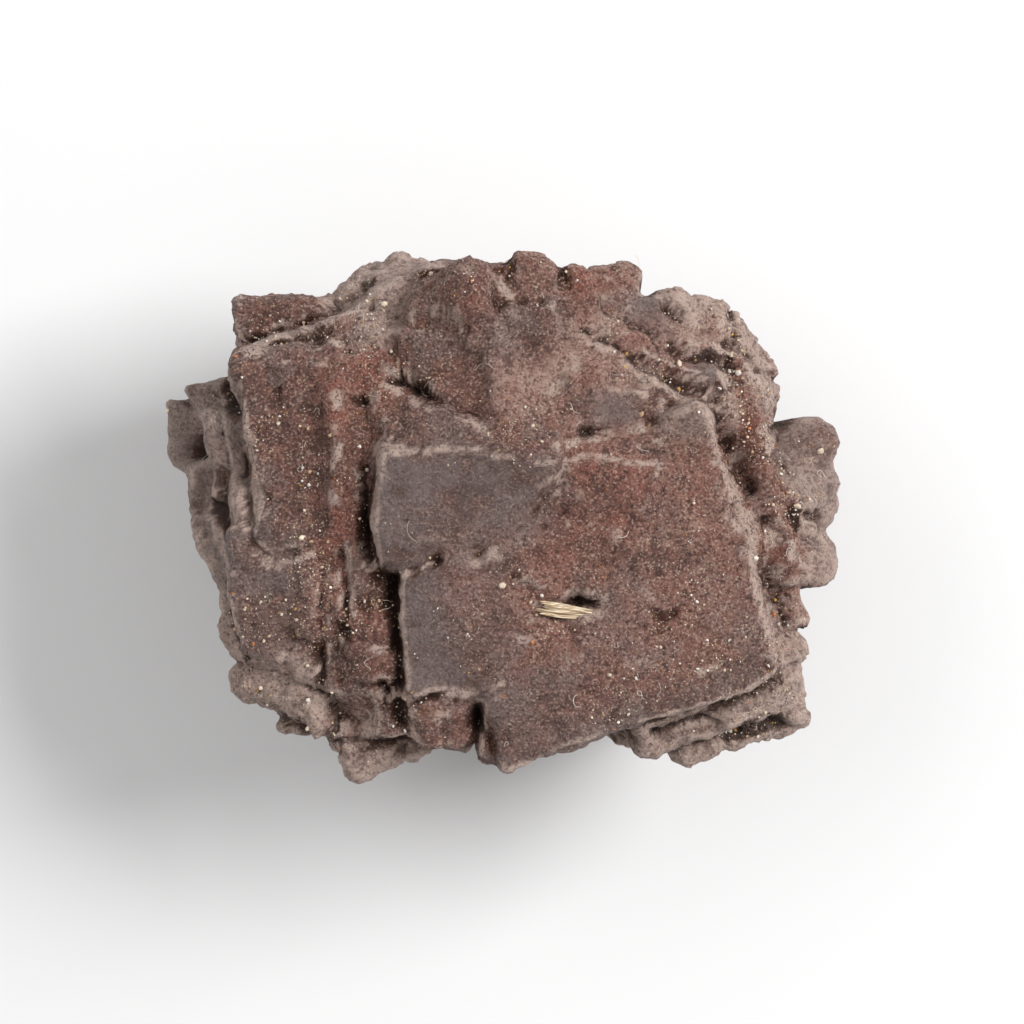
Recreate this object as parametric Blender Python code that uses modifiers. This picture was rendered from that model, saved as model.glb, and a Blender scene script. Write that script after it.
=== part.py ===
"""Prophecy stone: one solid nodule of iron oxide, a cluster of intergrown cube-shaped crystals.

Frame: metres, +Z up. The origin is the centre of the flat spot that the stone rests on, at the foot
of the cluster. +X is the longest way across the stone. The broad crystal plate is its top.

The stone is one piece, so the crystals are built as overlapping blocks and knobs, fused into one skin
by a voxel remesh, grooved, roughened, thinned to a light mesh, and cut flat where it rests.
"""

from dataclasses import dataclass

import bmesh
import bpy
from mathutils import Euler, Matrix, Vector

# Driving dimensions, in metres.
MM = 0.001
STONE_WIDTH = 46 * MM
STONE_DEPTH = 36.3 * MM
STONE_HEIGHT = 29.5 * MM
VOXEL = 0.38 * MM
CREVICE_CLOSED = 0.25 * MM
ROUGHNESS_SIZE = 4.5 * MM
ROUGHNESS_DEPTH = 0.7 * MM
TRIANGLES = 7800


@dataclass(frozen=True)
class Facet:
    """A plane that truncates a crystal: a point on it, and its lean toward +X and +Y in degrees."""

    point: tuple
    lean: tuple


@dataclass(frozen=True)
class Crystal:
    """One block, in millimetres and degrees: the centre of its top face, its size, lean and turn."""

    name: str
    top: tuple
    size: tuple
    lean: tuple = (0, 0)
    turn: float = 0
    edge: float = 0.4
    facets: tuple = ()

    def rotation(self):
        """Return the block's rotation: its top face leans toward +X and +Y, then turns about Z."""
        return lean_rotation(self.lean, self.turn)

    def centre(self):
        """Return the middle of the block, half its height below the middle of its top face."""
        return Vector(self.top) - self.rotation() @ Vector((0, 0, self.size[2] / 2))


@dataclass(frozen=True)
class Knob:
    """One rounded lump, in millimetres: its centre and its three radii."""

    centre: tuple
    radii: tuple


# The bulk that the crystals grow from.
CORE = (
    Crystal("core", (-0.3, -1.6, 24.3), (29, 22.5, 14), turn=14, edge=2.5),
    Crystal("core_low", (0, -0.4, 14.0), (26, 19.5, 12), turn=14, edge=4.0),
    Crystal("foot", (0.2, -0.4, 8.0), (14.5, 10.5, 9), turn=12, edge=1.2),
)

# The broad plate on top, its raised scab, and the ridge-backed block beside it.
PLATES = (
    Crystal("main_plate", (6.0, -4.4, 28.3), (19.6, 18.9, 13), (1.5, -0.5), 16.5, 0.5,
            (Facet((7.3, -8.9, 28.25), (3, -11)),)),
    Crystal("ridge_block", (-2.4, 2.7, 28.4), (12.4, 12.0, 12), (1.5, -9), 1, 0.4,
            (Facet((-3, 4.4, 28.7), (-3, 27)),)),
    Crystal("raised_scab", (6.5, 1.2, 29.1), (6.6, 5.4, 3), (2, -3), 4, 0.5),
    Crystal("scab_tail", (3.4, -0.6, 28.7), (3.0, 4.2, 3), (-4, -3), -14, 0.5),
    Crystal("west_plate", (-1.0, -2.7, 28.0), (12.4, 4.4, 11), (-2, 1), 27),
    Crystal("back_step", (2.6, 6.1, 28.4), (5.6, 2.4, 6), (0, 10), -5),
    Crystal("face_plate", (-3.6, -8.2, 28.0), (7.4, 7.4, 12), (-2, -2), 2),
)

# The slab along the left, with its ribs.
LEFT_SLAB = (
    Crystal("slab", (-13.4, 5.6, 26.2), (7.2, 12.0, 15), (-5, 1), 11.5),
    Crystal("slab_low", (-15.2, -4.7, 25.0), (6.6, 9.6, 13), (-7, -3), 4, 0.5),
    Crystal("slab_mid", (-12.0, -2.2, 25.8), (3.6, 13.0, 9), (-2, -2), 2),
    Crystal("red_rib", (-11.4, 4.9, 27.1), (2.1, 7.6, 6), (-5, 2), 3, 0.6),
    Crystal("red_rib_low", (-12.1, -3.4, 26.3), (1.5, 7.6, 5), (-4, -2), 2, 0.5),
    Crystal("thin_rib", (-8.95, 4.4, 27.3), (0.9, 8.4, 7), turn=1, edge=0.25),
    Crystal("wedge", (-9.4, -3.6, 26.7), (1.9, 3.6, 5), (0, -3), 3),
    Crystal("strip", (-9.2, -8.0, 26.3), (3.1, 5.4, 6), (-2, 0), 2),
)

# The small blocks along the front.
FRONT = (
    Crystal("front_step", (-4.9, -11.9, 27.3), (5.4, 2.4, 10), (0, -3), 3),
    Crystal("front_post", (-1.3, -13.9, 27.2), (2.2, 4.6, 12), (0, -7), 3),
    Crystal("front_block", (-4.3, -13.5, 26.5), (4.4, 3.8, 11), (0, -9), 8),
    Crystal("front_block_2", (-7.9, -13.2, 25.8), (2.8, 3.6, 10), (-3, -9), 4),
    Crystal("front_block_3", (-10.9, -10.3, 25.7), (3.5, 3.2, 8), (-3, -6), -3),
    Crystal("hollow_wall", (-13.0, -12.6, 24.4), (1.4, 4.4, 9), (-16, -10), -12),
    Crystal("front_tip", (-8.5, -15.0, 22.6), (6.0, 4.8, 9), (-3, -15), 22, 0.5),
    Crystal("skirt_1", (-15.9, -11.0, 22.2), (5.0, 4.6, 11), (-16, -30), -26, 0.5),
    Crystal("skirt_2", (-13.3, -13.0, 20.8), (4.6, 4.6, 10), (-6, -30), -12, 0.5),
    Crystal("skirt_3", (-17.2, -9.4, 21.0), (2.6, 5.4, 10), (-30, -8), -8, 0.5),
)

# The terraces stepping down on the left.
TERRACES = (
    Crystal("terrace_1", (-17.1, 0.4, 24.3), (3.0, 5.4, 11), (-6, 3), 8),
    Crystal("terrace_2", (-18.3, 4.5, 22.6), (3.2, 5.4, 10), (-8, 4), 10, 0.5),
    Crystal("terrace_3", (-20.0, 1.4, 19.8), (3.4, 5.4, 11), (-12, 1), 8, 0.5),
    Crystal("terrace_4", (-19.4, -2.7, 20.6), (2.8, 6.6, 11), (-18, 0), 13, 0.5),
    Crystal("terrace_5", (-18.8, -7.0, 20.0), (2.2, 4.0, 10), (-26, -6), 6, 0.5),
    Crystal("terrace_6", (-21.2, 7.0, 17.4), (3.4, 3.2, 8), (-8, 8), 12, 0.5),
    Crystal("terrace_7", (-19.6, 8.0, 19.6), (3.2, 3.2, 9), (-6, 12), 17, 0.6),
    Crystal("terrace_8", (-21.4, 4.6, 16.8), (2.4, 2.4, 8), (-6, 0), 14),
)

# The corner block and the weathered slopes along the back.
BACK = (
    Crystal("corner_block", (-15.5, 12.9, 20.8), (5.8, 4.4, 12), (-3, 7), 8),
    Crystal("bevel_1", (-12.2, 11.6, 25.0), (13.0, 3.4, 12), (-6, 20), 24),
    Crystal("bevel_2", (-11.0, 13.3, 23.6), (12.5, 1.8, 12), (-4, 16), 25, 0.3),
    Crystal("hill_1", (-9.9, 14.8, 22.0), (6.4, 4.8, 12), (-8, 14), 30, 1.0),
    Crystal("hill_2", (-6.8, 15.5, 23.2), (3.8, 4.2, 12), (2, 14), 24, 0.9),
    Crystal("shelf", (-2.2, 11.0, 27.2), (9.6, 7.8, 12), (-2, -11), -8, 0.5),
    Crystal("crown", (-1.6, 14.9, 27.2), (6.6, 4.2, 12), (0, 8), 2, 1.1),
    Crystal("slope_1", (9.6, 9.8, 25.8), (10.5, 7.6, 12), (7, 16), 8, 0.8),
    Crystal("slope_2", (4.6, 13.4, 25.2), (7.6, 6.4, 12), (2, 10), -4, 0.9),
    Crystal("slope_crest", (7.2, 9.6, 26.9), (5.8, 1.7, 4), (2, 8), -3, 0.5),
    Crystal("slope_fill", (3.6, 8.6, 26.2), (7.0, 5.6, 8), (3, 6), 0, 0.8),
    Crystal("boss", (6.8, 6.8, 28.1), (4.0, 1.9, 4), (0, -8), 4, 0.6),
)

# The valley, the bulges and the ledges on the right.
RIGHT = (
    Crystal("valley", (15.0, 2.6, 25.3), (8.6, 15.0, 12), (9, 3), 16, 0.8),
    Crystal("right_wall", (15.6, 9.4, 22.4), (5.4, 5.6, 12), (22, 12), -26, 0.8),
    Crystal("bulge_1", (19.2, 3.6, 21.8), (5.6, 5.4, 12), (10, 4), 10, 0.9),
    Crystal("bulge_2", (19.4, -1.6, 21.4), (5.4, 6.4, 12), (16, -4), 8, 1.1),
    Crystal("neck", (16.6, -5.6, 23.2), (6.4, 5.6, 12), (10, -2), 12, 0.7),
    Crystal("right_block", (17.0, -9.8, 23.4), (5.6, 8.6, 12), (17, -3), 8, 0.5),
    Crystal("ledge_1", (13.6, -13.3, 23.2), (11.0, 3.2, 10), (6, -20), 17),
    Crystal("ledge_2", (15.6, -13.9, 21.6), (8.8, 3.4, 10), (7, -26), 18),
    Crystal("ledge_3", (10.0, -14.0, 21.4), (6.0, 2.6, 9), (0, -20), 10),
    Crystal("right_corner", (18.0, -12.4, 20.4), (4.0, 3.8, 10), (12, -16), 10, 0.5),
)

# The blocks round the flanks and under the stone, leaning outward so that the stone narrows to its foot.
FLANKS = (
    Crystal("north_1", (-3.0, 14.4, 18.6), (7.0, 5.0, 9), (2, 14), -18, 0.5),
    Crystal("north_2", (4.6, 13.8, 17.2), (6.4, 5.0, 10), (-4, 18), 14, 0.5),
    Crystal("north_3", (10.6, 11.4, 16.4), (6.0, 5.4, 10), (12, 16), -28, 0.5),
    Crystal("north_4", (-9.3, 13.0, 14.6), (6.0, 5.2, 9), (-10, 18), 34, 0.5),
    Crystal("north_5", (0.4, 11.8, 10.6), (7.6, 5.2, 8), (3, 34), 10, 0.5),
    Crystal("north_6", (-15.4, 8.8, 12.6), (5.6, 5.2, 8), (-24, 20), -14, 0.5),
    Crystal("north_7", (7.0, 9.4, 8.6), (6.4, 5.6, 8), (14, 38), -20, 0.5),
    Crystal("north_8", (-7.0, 9.6, 7.4), (6.2, 5.4, 7), (-14, 40), 24, 0.5),
    Crystal("west_1", (-17.4, 3.0, 12.6), (6.2, 6.6, 9), (-22, 6), -14, 0.5),
    Crystal("west_2", (-16.8, -4.6, 15.0), (5.8, 6.2, 10), (-16, -6), 20, 0.5),
    Crystal("west_3", (-13.4, 0.0, 7.0), (5.8, 7.4, 7.5), (-36, 4), 10, 0.5),
    Crystal("west_4", (-13.0, -6.0, 8.4), (5.4, 5.4, 8), (-30, -18), -24, 0.5),
    Crystal("south_1", (-12.2, -10.4, 12.4), (6.0, 5.4, 9), (-16, -22), 30, 0.5),
    Crystal("south_2", (-5.2, -13.2, 15.8), (6.6, 5.0, 10), (-4, -16), -12, 0.5),
    Crystal("south_3", (2.4, -12.8, 18.6), (6.2, 5.0, 10), (2, -14), 12, 0.5),
    Crystal("south_4", (8.6, -12.0, 13.4), (6.6, 5.2, 9), (8, -22), -24, 0.5),
    Crystal("south_5", (-1.4, -10.6, 8.6), (8.0, 5.2, 8), (0, -36), 8, 0.5),
    Crystal("south_6", (-7.4, -8.8, 6.6), (5.6, 5.2, 7), (-16, -40), -26, 0.5),
    Crystal("south_7", (6.4, -8.4, 6.2), (6.0, 5.2, 7), (16, -38), 22, 0.5),
    Crystal("east_1", (17.4, -4.4, 14.0), (5.8, 6.4, 9), (20, -8), -20, 0.5),
    Crystal("east_2", (18.0, 2.8, 13.0), (6.0, 6.8, 9), (22, 6), 24, 0.5),
    Crystal("east_3", (13.8, 8.2, 10.6), (6.0, 5.6, 8), (26, 22), 8, 0.5),
    Crystal("east_4", (13.2, -9.0, 9.2), (5.6, 5.6, 8), (24, -24), 32, 0.5),
    Crystal("east_5", (12.6, -0.6, 6.4), (6.2, 7.4, 7), (38, 0), -8, 0.5),
    Crystal("under_1", (-5.0, 2.6, 5.4), (7.4, 6.4, 7), (-4, 6), 20, 0.5),
    Crystal("under_2", (5.4, -3.2, 5.6), (7.6, 6.2, 7), (5, -4), -16, 0.5),
    Crystal("under_3", (4.6, 4.4, 5.0), (5.6, 4.6, 6), (8, 10), 8, 0.5),
)

# Rounded knobs along the back and right edges, and on the plate's corner.
KNOBS = (
    Knob((-2.6, 15.5, 27.2), (2.3, 1.8, 1.9)),
    Knob((-4.8, 15.0, 26.9), (1.1, 1.3, 1.0)),
    Knob((1.2, 16.0, 25.9), (1.7, 1.4, 1.8)),
    Knob((3.9, 15.0, 25.8), (1.8, 2.0, 1.6)),
    Knob((7.2, 15.8, 24.7), (2.2, 1.5, 1.8)),
    Knob((9.0, 14.0, 25.2), (1.4, 1.3, 1.3)),
    Knob((11.6, 13.8, 23.8), (1.9, 1.5, 1.7)),
    Knob((14.4, 12.6, 22.8), (1.6, 1.4, 1.6)),
    Knob((15.6, 10.9, 22.6), (1.6, 1.6, 1.7)),
    Knob((16.6, 8.6, 22.0), (1.8, 2.0, 2.2)),
    Knob((9.6, 8.2, 26.9), (1.3, 1.3, 1.2)),
    Knob((13.0, 9.2, 26.0), (1.5, 1.1, 1.1)),
    Knob((-20.5, 5.3, 18.7), (0.9, 0.8, 0.8)),
    Knob((-10.8, 12.3, 25.1), (1.7, 1.1, 1.0)),
    Knob((-11.2, 8.6, 26.5), (1.1, 1.2, 1.0)),
    Knob((12.3, 6.9, 28.0), (1.5, 0.9, 0.7)),
    Knob((20.6, 5.2, 21.2), (1.5, 1.3, 1.6)),
    Knob((21.0, 1.2, 20.0), (1.4, 1.8, 2.2)),
    Knob((20.9, -2.6, 19.6), (1.3, 1.6, 2.4)),
)

# Grooves and pits, as the blocks that cut them.
GROOVES = (
    Crystal("rib_groove", (-9.75, 4.6, 29.9), (1.0, 8.4, 4.6), turn=2),
    Crystal("slab_groove", (-10.9, -3.9, 29.2), (0.9, 5.2, 4.5), turn=3),
    Crystal("front_hollow", (-10.8, -12.9, 29.5), (3.3, 2.4, 6.5), turn=-3),
    Crystal("plate_pit", (3.9, -5.3, 30.3), (4.9, 1.7, 3.0), turn=-9),
    Crystal("shelf_crack", (-4.65, 8.15, 30.2), (7.2, 0.8, 3.6), turn=-26),
    Crystal("ledge_gap", (13.4, -12.6, 29.5), (7.6, 1.0, 7.0), turn=17.5),
    Crystal("block_gap", (-16.0, 11.2, 25.9), (7.0, 0.9, 5.0), turn=22),
)


def lean_rotation(lean, turn):
    """Return the rotation of a block whose top face leans toward +X and +Y by the given degrees.

    Args:
        lean: the lean toward +X and toward +Y, in degrees.
        turn: the turn about Z, in degrees, made first.
    """
    angles = [a * 3.14159265 / 180 for a in (-lean[1], lean[0], turn)]
    return Euler(angles, "XYZ").to_matrix()


def clear_scene():
    """Remove every object that the scene starts with."""
    for thing in list(bpy.data.objects):
        bpy.data.objects.remove(thing, do_unlink=True)


def add_collection(name):
    """Return a new collection of this name, linked to the scene."""
    collection = bpy.data.collections.new(name)
    bpy.context.scene.collection.children.link(collection)
    return collection


def add_object(name, bm, collection):
    """Turn a bmesh into a named object in a collection, in metres.

    Args:
        name: the object's name.
        bm: the bmesh, in millimetres, which is freed.
        collection: where the object goes.
    """
    bmesh.ops.scale(bm, vec=(MM, MM, MM), verts=bm.verts)
    mesh = bpy.data.meshes.new(name)
    bm.to_mesh(mesh)
    bm.free()
    made = bpy.data.objects.new(name, mesh)
    collection.objects.link(made)
    return made


def crystal_bmesh(crystal):
    """Return one block as a bmesh: a cube, truncated by its facets, with its edges bevelled."""
    bm = bmesh.new()
    place = Matrix.Translation(crystal.centre()) @ crystal.rotation().to_4x4()
    bmesh.ops.create_cube(bm, size=1, matrix=place @ Matrix.Diagonal((*crystal.size, 1)))
    for facet in crystal.facets:
        normal = lean_rotation(facet.lean, 0) @ Vector((0, 0, 1))
        everything = bm.verts[:] + bm.edges[:] + bm.faces[:]
        bmesh.ops.bisect_plane(bm, geom=everything, plane_co=facet.point, plane_no=normal, clear_outer=True)
        bmesh.ops.holes_fill(bm, edges=bm.edges, sides=0)
    bmesh.ops.bevel(bm, geom=bm.edges[:], offset=crystal.edge, segments=2, profile=0.6, affect="EDGES",
                    clamp_overlap=True)
    bmesh.ops.recalc_face_normals(bm, faces=bm.faces)
    return bm


def knob_bmesh(knob):
    """Return one rounded lump as a bmesh: a sphere stretched to its three radii."""
    bm = bmesh.new()
    place = Matrix.Translation(knob.centre) @ Matrix.Diagonal((*knob.radii, 1))
    bmesh.ops.create_icosphere(bm, subdivisions=3, radius=1, matrix=place)
    return bm


def joined(pieces):
    """Return one bmesh that holds every piece's faces."""
    whole = bmesh.new()
    for piece in pieces:
        mesh = bpy.data.meshes.new("piece")
        piece.to_mesh(mesh)
        piece.free()
        whole.from_mesh(mesh)
        bpy.data.meshes.remove(mesh)
    return whole


def add_remesh(thing, voxel):
    """Fuse an object's overlapping shells into one skin."""
    remesh = thing.modifiers.new("fuse", "REMESH")
    remesh.mode = "VOXEL"
    remesh.voxel_size = voxel


def add_displace(thing, strength, texture=None):
    """Push an object's skin along its normals, evenly or by a texture."""
    displace = thing.modifiers.new("push", "DISPLACE")
    displace.strength = strength
    displace.mid_level = 0.5 if texture else 0
    displace.texture = texture
    displace.texture_coords = "LOCAL"


def add_cut(thing, cutter):
    """Cut one object with another, which is left as a hidden wire helper."""
    cutter.hide_render = True
    cutter.display_type = "WIRE"
    cut = thing.modifiers.new("cut " + cutter.name, "BOOLEAN")
    cut.operation = "DIFFERENCE"
    cut.object = cutter


def bake(thing):
    """Replace an object's mesh by what its modifiers make of it, and keep only the outer skin."""
    graph = bpy.context.evaluated_depsgraph_get()
    mesh = bpy.data.meshes.new_from_object(thing.evaluated_get(graph))
    thing.modifiers.clear()
    thing.data = mesh
    bm = bmesh.new()
    bm.from_mesh(mesh)
    islands = find_islands(bm)
    islands.sort(key=len)
    spare = [vert for island in islands[:-1] for vert in island]
    bmesh.ops.delete(bm, geom=spare, context="VERTS")
    bm.to_mesh(mesh)
    bm.free()


def find_islands(bm):
    """Return the separate shells of a bmesh, each as a list of its vertices."""
    unseen = set(bm.verts)
    islands = []
    while unseen:
        island = [unseen.pop()]
        for vert in island:
            for edge in vert.link_edges:
                other = edge.other_vert(vert)
                if other in unseen:
                    unseen.remove(other)
                    island.append(other)
        islands.append(island)
    return islands


def fit(thing, size):
    """Scale an object's mesh about the origin, so that it measures the given width, depth and height.

    Args:
        thing: the object, whose flat underside lies at z = 0.
        size: the width along X, the depth along Y and the height, in metres.
    """
    corners = [Vector(corner) for corner in thing.bound_box]
    low, high = corners[0], corners[6]
    ratios = [wanted / (b - a) for wanted, a, b in zip(size, low, high)]
    thing.data.transform(Matrix.Diagonal((*ratios, 1)))


def rough_texture():
    """Return the cloud noise that makes the crystal faces uneven."""
    texture = bpy.data.textures.new("weathering", "CLOUDS")
    texture.noise_scale = ROUGHNESS_SIZE
    texture.noise_depth = 3
    return texture


def stone_material():
    """Return the stone's own material: dark brown iron oxide with a faint metallic skin."""
    material = bpy.data.materials.new("iron_oxide")
    material.use_nodes = True
    shader = material.node_tree.nodes["Principled BSDF"]
    shader.inputs["Base Color"].default_value = (0.125, 0.075, 0.062, 1)
    shader.inputs["Roughness"].default_value = 0.6
    shader.inputs["Metallic"].default_value = 0.1
    return material


def build_stone():
    """Build the stone and its cutters."""
    parts = add_collection("prophecy_stone")
    cutters = add_collection("cutters")

    blocks = CORE + PLATES + LEFT_SLAB + FRONT + TERRACES + BACK + RIGHT + FLANKS
    pieces = [crystal_bmesh(c) for c in blocks] + [knob_bmesh(k) for k in KNOBS]
    stone = add_object("stone", joined(pieces), parts)

    grooves = add_object("grooves", joined([crystal_bmesh(c) for c in GROOVES]), cutters)
    floor = bmesh.new()
    bmesh.ops.create_cube(floor, size=1, matrix=Matrix.Translation((0, 0, -10)) @ Matrix.Diagonal((90, 90, 20, 1)))
    ground = add_object("ground", floor, cutters)

    add_remesh(stone, VOXEL)
    add_displace(stone, CREVICE_CLOSED)
    add_remesh(stone, VOXEL)
    add_displace(stone, -CREVICE_CLOSED)
    bake(stone)

    add_cut(stone, grooves)
    add_displace(stone, ROUGHNESS_DEPTH, rough_texture())
    add_remesh(stone, VOXEL)
    smooth = stone.modifiers.new("soften", "SMOOTH")
    smooth.factor = 0.5
    smooth.iterations = 1
    bake(stone)

    thin = stone.modifiers.new("thin", "DECIMATE")
    thin.ratio = TRIANGLES / (2 * len(stone.data.polygons))
    add_cut(stone, ground)
    bake(stone)
    bpy.context.view_layer.update()
    fit(stone, (STONE_WIDTH, STONE_DEPTH, STONE_HEIGHT))

    stone.data.materials.clear()
    stone.data.materials.append(stone_material())
    stone.data.shade_smooth()


def main():
    """Clear the scene and build the stone."""
    clear_scene()
    build_stone()


if __name__ == "__main__":
    main()
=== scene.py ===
"""The finished look of a prophecy stone: a small iron oxide nodule of intergrown cube-shaped crystals.

The stone's skin is one closed surface. Its shape is a distance field, crystals and knobs fused together,
worn by noise and cut by strokes, and a box-shaped grid of points is carried in to where that field is
zero. Loose sand, a splinter of straw and a few plant hairs lie on it. All shapes are worked out in
millimetres and put into the meshes in metres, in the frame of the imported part: +Z up, the resting spot
at the origin.
"""

import logging
import math
from collections.abc import Callable
from dataclasses import dataclass, field
from enum import Enum
from functools import cached_property

import bpy
import numpy as np
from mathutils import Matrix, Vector


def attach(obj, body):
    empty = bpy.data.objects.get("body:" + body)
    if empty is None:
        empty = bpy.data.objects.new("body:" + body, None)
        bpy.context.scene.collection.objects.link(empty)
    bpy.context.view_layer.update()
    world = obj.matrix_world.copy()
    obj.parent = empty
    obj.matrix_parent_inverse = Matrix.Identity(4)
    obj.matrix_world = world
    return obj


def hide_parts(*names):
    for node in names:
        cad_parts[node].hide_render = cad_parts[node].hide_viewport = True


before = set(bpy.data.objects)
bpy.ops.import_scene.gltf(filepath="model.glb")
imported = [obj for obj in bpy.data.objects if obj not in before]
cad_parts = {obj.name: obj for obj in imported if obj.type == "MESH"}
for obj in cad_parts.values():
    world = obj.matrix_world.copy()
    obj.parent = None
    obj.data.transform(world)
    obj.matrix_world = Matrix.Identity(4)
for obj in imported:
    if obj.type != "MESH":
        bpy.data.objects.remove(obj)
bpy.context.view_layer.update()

Array = np.ndarray
Triple = tuple[float, float, float]
log = logging.getLogger("prophecy_stone")

MM = 0.001
FAR = 99.0

# The steps of the whole-number hash behind the noise.
LATTICE_PRIMES = (374761393, 668265263, 2147483647)
SEED_PRIME = 1274126177
LAST_PRIME = 2246822519
BITS_32 = 0xFFFFFFFF
BITS_24 = 0xFFFFFF

# What is known about each point of the skin, in the names of the mesh's attributes.
MASKS = ("crevice", "edge", "polish", "rust", "pale", "up", "raised")


# ---------------------------------------------------------------- noise and small geometry helpers


def lattice_noise(points: Array, seed: int) -> Array:
    """Random numbers between -1 and 1 on a unit lattice, blended between lattice points by a quintic fade.

    Args:
        points: an (n, 3) array in lattice units.
        seed: which set of random numbers to use.

    Returns:
        One value for each point.
    """
    cell = np.floor(points).astype(np.int64)
    part = (points - cell).astype(np.float32)
    fade = part * part * part * (part * (part * 6 - 15) + 10)
    total = np.zeros(len(points), np.float32)
    for corner in np.ndindex(2, 2, 2):
        at = (cell + corner) * LATTICE_PRIMES
        mixed = (at.sum(axis=1) + seed * SEED_PRIME) & BITS_32
        mixed = ((mixed ^ (mixed >> 13)) * SEED_PRIME) & BITS_32
        mixed = ((mixed ^ (mixed >> 16)) * LAST_PRIME) & BITS_32
        value = ((mixed ^ (mixed >> 15)) & BITS_24).astype(np.float32) / (BITS_24 / 2) - 1
        weight = np.where(corner, fade, 1 - fade)
        total += weight[:, 0] * weight[:, 1] * weight[:, 2] * value
    return total


def fractal(points: Array, octaves: int, seed: int, gain: float = 0.5) -> Array:
    """Sum of lattice noises, each half as wide and gain times as strong as the one before.

    Args:
        points: an (n, 3) array, in widths of the first noise.
        octaves: how many noises are summed.
        seed: which set of random numbers to use.
        gain: the strength of each noise over the one before.

    Returns:
        One value for each point.
    """
    total = np.zeros(len(points), np.float32)
    for octave in range(octaves):
        total += gain**octave * lattice_noise(points * 2.03**octave + 17.3 * octave, seed + 7 * octave)
    return total


def smooth_min(a: Array, b: Array, width: float) -> Array:
    """The smaller of a and b, with a fillet where they differ by less than width."""
    near = np.maximum(width - np.abs(a - b), 0) / width
    return np.minimum(a, b) - near * near * width / 4


def ramp(values: Array, low: float, high: float) -> Array:
    """Rise smoothly from 0 at low to 1 at high."""
    t = np.clip((values - low) / (high - low), 0, 1)
    return t * t * (3 - 2 * t)


def unit(vectors: Array) -> Array:
    """Vectors divided by their lengths."""
    return vectors / np.maximum(np.linalg.norm(vectors, axis=-1, keepdims=True), 1e-9)


def lean_rotation(lean: tuple[float, float], turn: float) -> Array:
    """Rotation of a block whose top leans toward +X and +Y and which is then turned about Z.

    Args:
        lean: the lean toward +X and toward +Y, in degrees.
        turn: the turn about Z after that, in degrees.

    Returns:
        A 3 by 3 matrix whose columns are the block's own axes.
    """
    (sx, sy, sz), (cx, cy, cz) = (f(np.radians((-lean[1], lean[0], turn))) for f in (np.sin, np.cos))
    about_x = np.array([[1, 0, 0], [0, cx, -sx], [0, sx, cx]])
    about_y = np.array([[cy, 0, sy], [0, 1, 0], [-sy, 0, cy]])
    about_z = np.array([[cz, -sz, 0], [sz, cz, 0], [0, 0, 1]])
    return (about_z @ about_y @ about_x).astype(np.float32)


# ---------------------------------------------------------------- the stone's crystals


class Skin(Enum):
    """How a crystal has weathered, as shares of polished, rusty and pale surface; pale is partly painted
    highlight.
    """

    BROWN = (0.15, 0.15, 0.0)
    POLISHED = (1.0, 0.0, 0.0)
    SATIN = (0.55, 0.1, 0.0)
    RUSTY = (0.1, 0.9, 0.0)
    SANDY = (0.0, 0.55, 0.15)
    FADED = (0.0, 0.7, 0.6)
    BARE = (0.85, 0.0, 0.5)
    PALE = (0.1, 0.1, 0.9)


@dataclass(frozen=True)
class Crystal:
    """One block, in millimetres and degrees.

    Its numbers are the centre of its top, its size, its lean toward +X and +Y, its turn about Z after that,
    the radius of its edges and the width over which it merges with what it touches.
    """

    name: str
    top: Triple
    size: Triple
    lean: tuple[float, float] = (0, 0)
    turn: float = 0
    edge: float = 0.4
    merge: float = 0.35
    skin: Skin = Skin.BROWN

    @cached_property
    def axes(self) -> Array:
        """The block's own axes, as columns."""
        return lean_rotation(self.lean, self.turn)

    @cached_property
    def centre(self) -> Array:
        """The middle of the block, half its height below the middle of its top face."""
        return (np.array(self.top) - self.axes[:, 2] * self.size[2] / 2).astype(np.float32)

    @property
    def reach(self) -> float:
        """How far the block's corners are from its middle."""
        return float(np.linalg.norm(self.size)) / 2

    def distance(self, points: Array, wear: Array | float) -> Array:
        """Distance to a box with rounded edges: how far a point is past the box's core, less the rounding.

        Args:
            points: an (n, 3) array in millimetres.
            wear: how many times its own edge radius the edge is worn, for each point.

        Returns:
            The distance for each point, negative inside.
        """
        edge = np.minimum(self.edge * wear, min(self.size) * 0.45)
        past = np.abs((points - self.centre) @ self.axes) - np.array(self.size, np.float32) / 2
        past += np.reshape(edge, (-1, 1))
        outside = np.maximum(past, 0)
        return np.sqrt((outside * outside).sum(axis=1)) + np.minimum(past.max(axis=1), 0) - edge


@dataclass(frozen=True)
class Knob:
    """One rounded lump, in millimetres: its centre, its radii, how softly it merges, and its skin."""

    centre: Triple
    radii: Triple
    merge: float = 1.2
    skin: Skin = Skin.SANDY

    def distance(self, points: Array) -> Array:
        """Distance to an ellipsoid, to first order: its level set value over that value's slope.

        Args:
            points: an (n, 3) array in millimetres.

        Returns:
            The distance for each point, negative inside.
        """
        offset = (points - np.array(self.centre, np.float32)) / np.array(self.radii, np.float32)
        level = np.sqrt((offset * offset).sum(axis=1))
        slope = np.sqrt(((offset / np.array(self.radii, np.float32)) ** 2).sum(axis=1))
        return level * (level - 1) / np.maximum(slope, 1e-6)


@dataclass(frozen=True)
class Stroke:
    """One crevice, or a ridge when its depth is negative, drawn on the top in millimetres."""

    start: tuple[float, float]
    end: tuple[float, float]
    width: float
    depth: float

    def lift(self, points: Array) -> Array:
        """How much the stroke adds to the field: its depth times a bell of the distance from its line.

        Args:
            points: an (n, 3) array in millimetres.

        Returns:
            The addition for each point.
        """
        start, run = np.array(self.start, np.float32), np.subtract(self.end, self.start).astype(np.float32)
        offset = points[:, :2] - start
        share = np.clip(offset @ run / (run @ run), 0, 1)
        offset -= share[:, None] * run
        return self.depth * np.exp(-(offset * offset).sum(axis=1) / self.width**2)


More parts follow.
